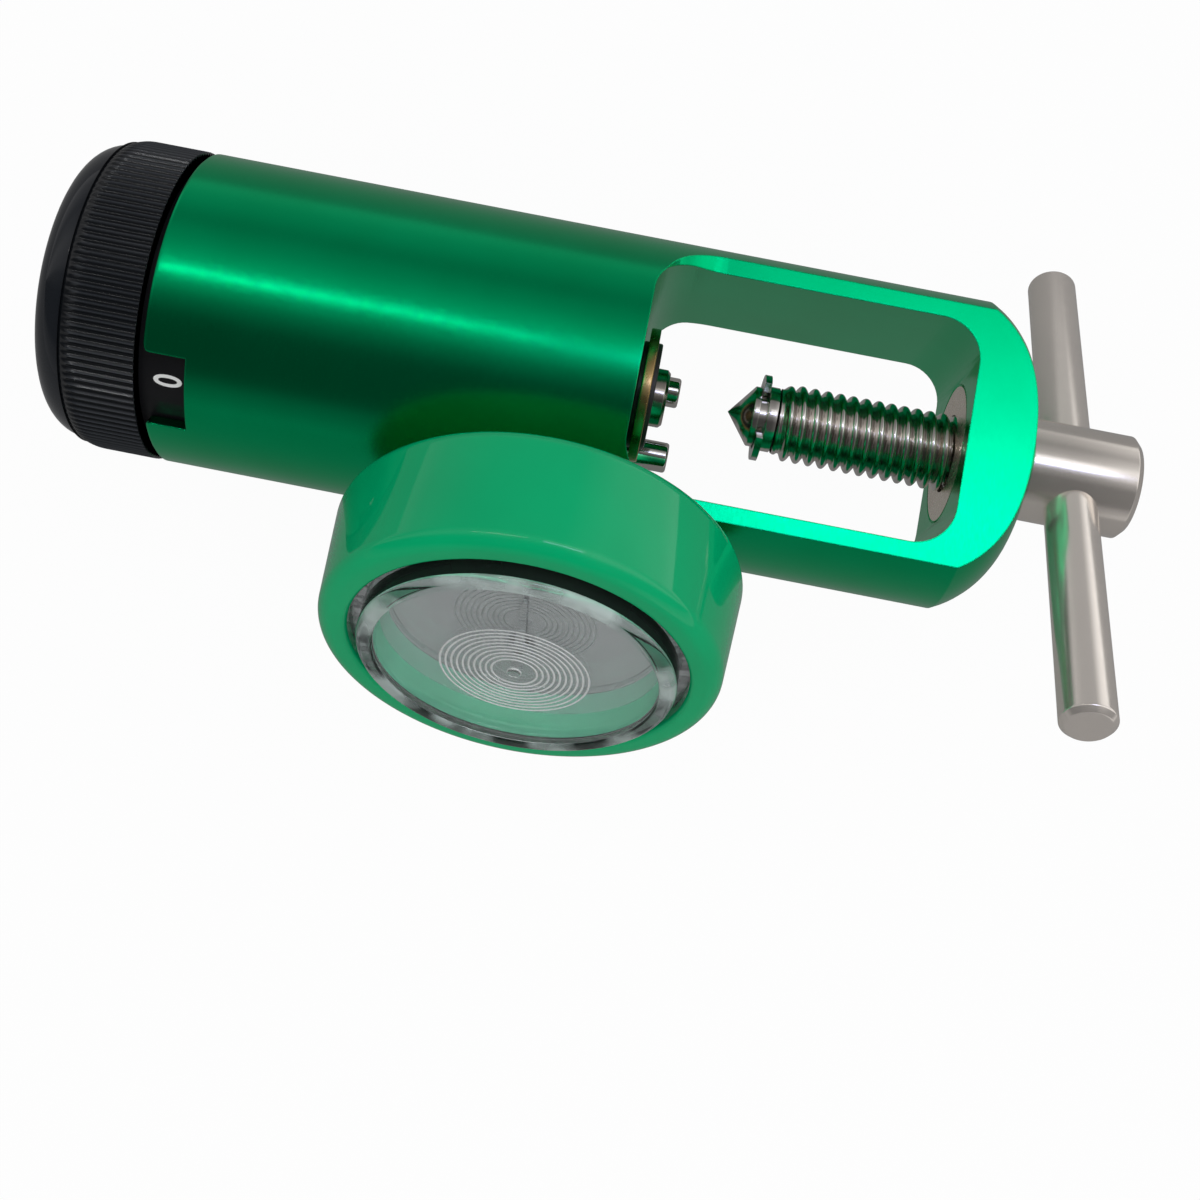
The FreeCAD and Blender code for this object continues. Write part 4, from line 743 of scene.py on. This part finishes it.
class REGULATOR_OT_stage(bpy.types.Operator):
    """Pale floor, soft lights and the camera"""
    bl_idname = "regulator.stage"
    bl_label = "Studio stage"

    def execute(self, context):
        s = settings().stage
        low = CAD_BOX[0][2]
        self.floor(low - 0.0004)
        self.world(s.room)
        self.softbox("key_light", (-0.22, 0.13, 0.62), (0.32, 0.008), s.key)
        self.softbox("end_light", (0.15, 0.165, 0.62), (0.24, 0.19), s.end)
        arm = self.softbox("arm_light", (0.13, 0.105, 0.615), (0.22, 0.08), s.arm)
        arm.data.color = (0.52, 0.58, 1.0)
        fill = self.softbox("fill_light", (0.0, -0.25, 0.60), (0.7, 0.7), s.fill)
        fill.visible_glossy = False
        self.camera(s)
        context.scene.view_settings.view_transform = "Standard"
        return {"FINISHED"}

    def floor(self, height):
        """Flat grid far wider than the view."""
        side = np.linspace(-3000.0, 3000.0, 9)
        x, y = np.meshgrid(side, side, indexing="ij")
        floor = grid_mesh("studio_floor", np.stack([x, y, np.full_like(x, height / MM)], -1))
        made = Nodes("floor_white")
        made.set(Base_Color=(0.80, 0.80, 0.80, 1.0), Roughness=0.9, Specular_IOR_Level=0.1)
        seen = made.add("ShaderNodeLightPath")
        glow = made.add("ShaderNodeEmission")
        glow.inputs["Color"].default_value = (1.0, 1.0, 1.0, 1.0)
        plainly = made.add("ShaderNodeMath", operation="MAXIMUM")
        made.link(seen.outputs["Is Camera Ray"], plainly.inputs[0])
        made.link(seen.outputs["Is Transmission Ray"], plainly.inputs[1])
        either = made.add("ShaderNodeMath", operation="MAXIMUM")
        made.link(plainly.outputs[0], either.inputs[0])
        made.link(seen.outputs["Is Glossy Ray"], either.inputs[1])
        share = made.add("ShaderNodeMath", operation="MULTIPLY")
        share.inputs[1].default_value = 0.96
        made.link(either.outputs[0], share.inputs[0])
        level = made.add("ShaderNodeMath", operation="MULTIPLY_ADD")
        level.inputs[1].default_value = -0.78
        level.inputs[2].default_value = 1.0
        made.link(seen.outputs["Is Glossy Ray"], level.inputs[0])
        made.link(level.outputs[0], glow.inputs["Strength"])
        mix = made.add("ShaderNodeMixShader")
        made.link(share.outputs[0], mix.inputs[0])
        made.link(made.shader.outputs[0], mix.inputs[1])
        made.link(glow.outputs[0], mix.inputs[2])
        output = made.tree.nodes["Material Output"]
        made.link(mix.outputs[0], output.inputs["Surface"])
        floor.data.materials.append(made.material)

    def world(self, level):
        """Studio light that depends on the angle from straight up towards +Y, as a room with a pale ceiling behind
        and a darker wall in front gives; the camera itself sees the backdrop's white."""
        world = bpy.data.worlds.new("studio")
        bpy.context.scene.world = world
        world.use_nodes = True
        tree = world.node_tree
        sky = tree.nodes["Background"]
        way = tree.nodes.new("ShaderNodeTexCoord")
        split = tree.nodes.new("ShaderNodeSeparateXYZ")
        tree.links.new(way.outputs["Generated"], split.inputs[0])
        turn = tree.nodes.new("ShaderNodeMath")
        turn.operation = "ARCTAN2"
        tree.links.new(split.outputs["Y"], turn.inputs[0])
        tree.links.new(split.outputs["Z"], turn.inputs[1])
        share = tree.nodes.new("ShaderNodeMath")
        share.operation = "MULTIPLY_ADD"
        share.inputs[1].default_value = 0.5 / math.pi
        share.inputs[2].default_value = 0.5
        tree.links.new(turn.outputs[0], share.inputs[0])
        ramp = tree.nodes.new("ShaderNodeValToRGB")
        ramp.color_ramp.interpolation = "EASE"
        tree.links.new(share.outputs[0], ramp.inputs[0])
        marks = ramp.color_ramp.elements
        for degrees, _ in SKY[1:-1]:
            marks.new(0.5 + degrees / 360.0)
        for mark, (degrees, value) in zip(marks, SKY):
            mark.position = 0.5 + degrees / 360.0
            mark.color = (value, value, value, 1.0)
        side = tree.nodes.new("ShaderNodeMapRange")
        for key, value in (("From Min", 0.20), ("From Max", 0.50), ("To Min", 1.0), ("To Max", 2.6)):
            side.inputs[key].default_value = value
        tree.links.new(split.outputs["X"], side.inputs["Value"])
        left = tree.nodes.new("ShaderNodeMapRange")
        for key, value in (("From Min", -0.45), ("From Max", -0.8), ("To Min", 0.0), ("To Max", 0.2)):
            left.inputs[key].default_value = value
        tree.links.new(split.outputs["X"], left.inputs["Value"])
        both = tree.nodes.new("ShaderNodeMath")
        both.operation = "ADD"
        tree.links.new(side.outputs["Result"], both.inputs[0])
        tree.links.new(left.outputs["Result"], both.inputs[1])
        lifted = tree.nodes.new("ShaderNodeVectorMath")
        lifted.operation = "SCALE"
        tree.links.new(ramp.outputs["Color"], lifted.inputs[0])
        tree.links.new(both.outputs[0], lifted.inputs["Scale"])
        white = tree.nodes.new("ShaderNodeMix")
        white.data_type = "RGBA"
        white.inputs[7].default_value = (1.0, 1.0, 1.0, 1.0)
        seen = tree.nodes.new("ShaderNodeLightPath")
        tree.links.new(seen.outputs["Is Camera Ray"], white.inputs[0])
        tree.links.new(lifted.outputs[0], white.inputs[6])
        tree.links.new(white.outputs[2], sky.inputs["Color"])
        sky.inputs["Strength"].default_value = level

    def softbox(self, name, place, spread, power):
        """Rectangular lamp that faces the object, its first side along X."""
        lamp = bpy.data.lights.new(name, "AREA")
        lamp.shape = "RECTANGLE"
        lamp.size, lamp.size_y = spread
        lamp.energy = power
        made = bpy.data.objects.new(name, lamp)
        bpy.context.scene.collection.objects.link(made)
        back, right, up = basis(place, X_AXIS)
        matrix = np.eye(4)
        matrix[:3, 0], matrix[:3, 1], matrix[:3, 2], matrix[:3, 3] = right, up, back, place
        made.matrix_world = Matrix(matrix.tolist())
        return made

    def camera(self, s):
        """Camera fitted to the photograph: its rows are right, down and forward in the object's frame."""
        turn = rodrigues((-0.170168762, -0.00479504, 0.191934269)) @ np.diag([1.0, -1.0, -1.0])
        shift = np.array([4.29633672, -13.0794969, 195.428804])
        centre = -turn.T @ shift * MM
        right, down, ahead = turn
        matrix = np.eye(4)
        matrix[:3, 0], matrix[:3, 1], matrix[:3, 2], matrix[:3, 3] = right, -down, -ahead, centre
        data = bpy.data.cameras.new("photo_camera")
        data.lens = s.focal
        data.sensor_width = 36.0
        data.shift_y = -100.0 / 1200.0
        data.clip_start, data.clip_end = 0.01, 10.0
        made = bpy.data.objects.new("photo_camera", data)
        bpy.context.scene.collection.objects.link(made)
        made.matrix_world = Matrix(matrix.tolist())
        bpy.context.scene.camera = made


def rodrigues(vector):
    """Rotation by |v| about v: 1 + sin(t) K + (1 - cos(t)) K K, K the cross product matrix of v / |v|."""
    v = np.array(vector, float)
    t = np.linalg.norm(v)
    x, y, z = v / t
    k = np.array([[0, -z, y], [z, 0, -x], [-y, x, 0]])
    return np.eye(3) + math.sin(t) * k + (1.0 - math.cos(t)) * k @ k


class REGULATOR_PT_panel(bpy.types.Panel):
    """Buttons for the regulator's pieces"""
    bl_idname = "REGULATOR_PT_panel"
    bl_label = "Oxygen regulator"
    bl_space_type = "VIEW_3D"
    bl_region_type = "UI"
    bl_category = "Regulator"

    def draw(self, context):
        layout = self.layout
        for step in STEPS:
            layout.operator("regulator." + step)
        for group in ("body", "knob", "clamp", "gauge", "stage"):
            box = layout.box()
            values = getattr(context.scene.regulator, group)
            for key in values.bl_rna.properties.keys():
                if key not in ("rna_type", "name"):
                    box.prop(values, key)


STEPS = ("body", "knob", "clamp", "inlet", "gauge", "outlet", "inner", "stage")
CLASSES = (RegulatorBody, RegulatorKnob, RegulatorClamp, RegulatorGauge, RegulatorStage, RegulatorSettings,
           REGULATOR_OT_body, REGULATOR_OT_knob, REGULATOR_OT_clamp, REGULATOR_OT_inlet, REGULATOR_OT_gauge,
           REGULATOR_OT_outlet, REGULATOR_OT_inner, REGULATOR_OT_stage, REGULATOR_PT_panel)


def register():
    for kind in CLASSES:
        bpy.utils.register_class(kind)
    bpy.types.Scene.regulator = PointerProperty(type=RegulatorSettings)


def unregister():
    del bpy.types.Scene.regulator
    for kind in reversed(CLASSES):
        bpy.utils.unregister_class(kind)


def main():
    register()
    for step in STEPS:
        getattr(bpy.ops.regulator, step)()


if __name__ == "__main__":
    main()
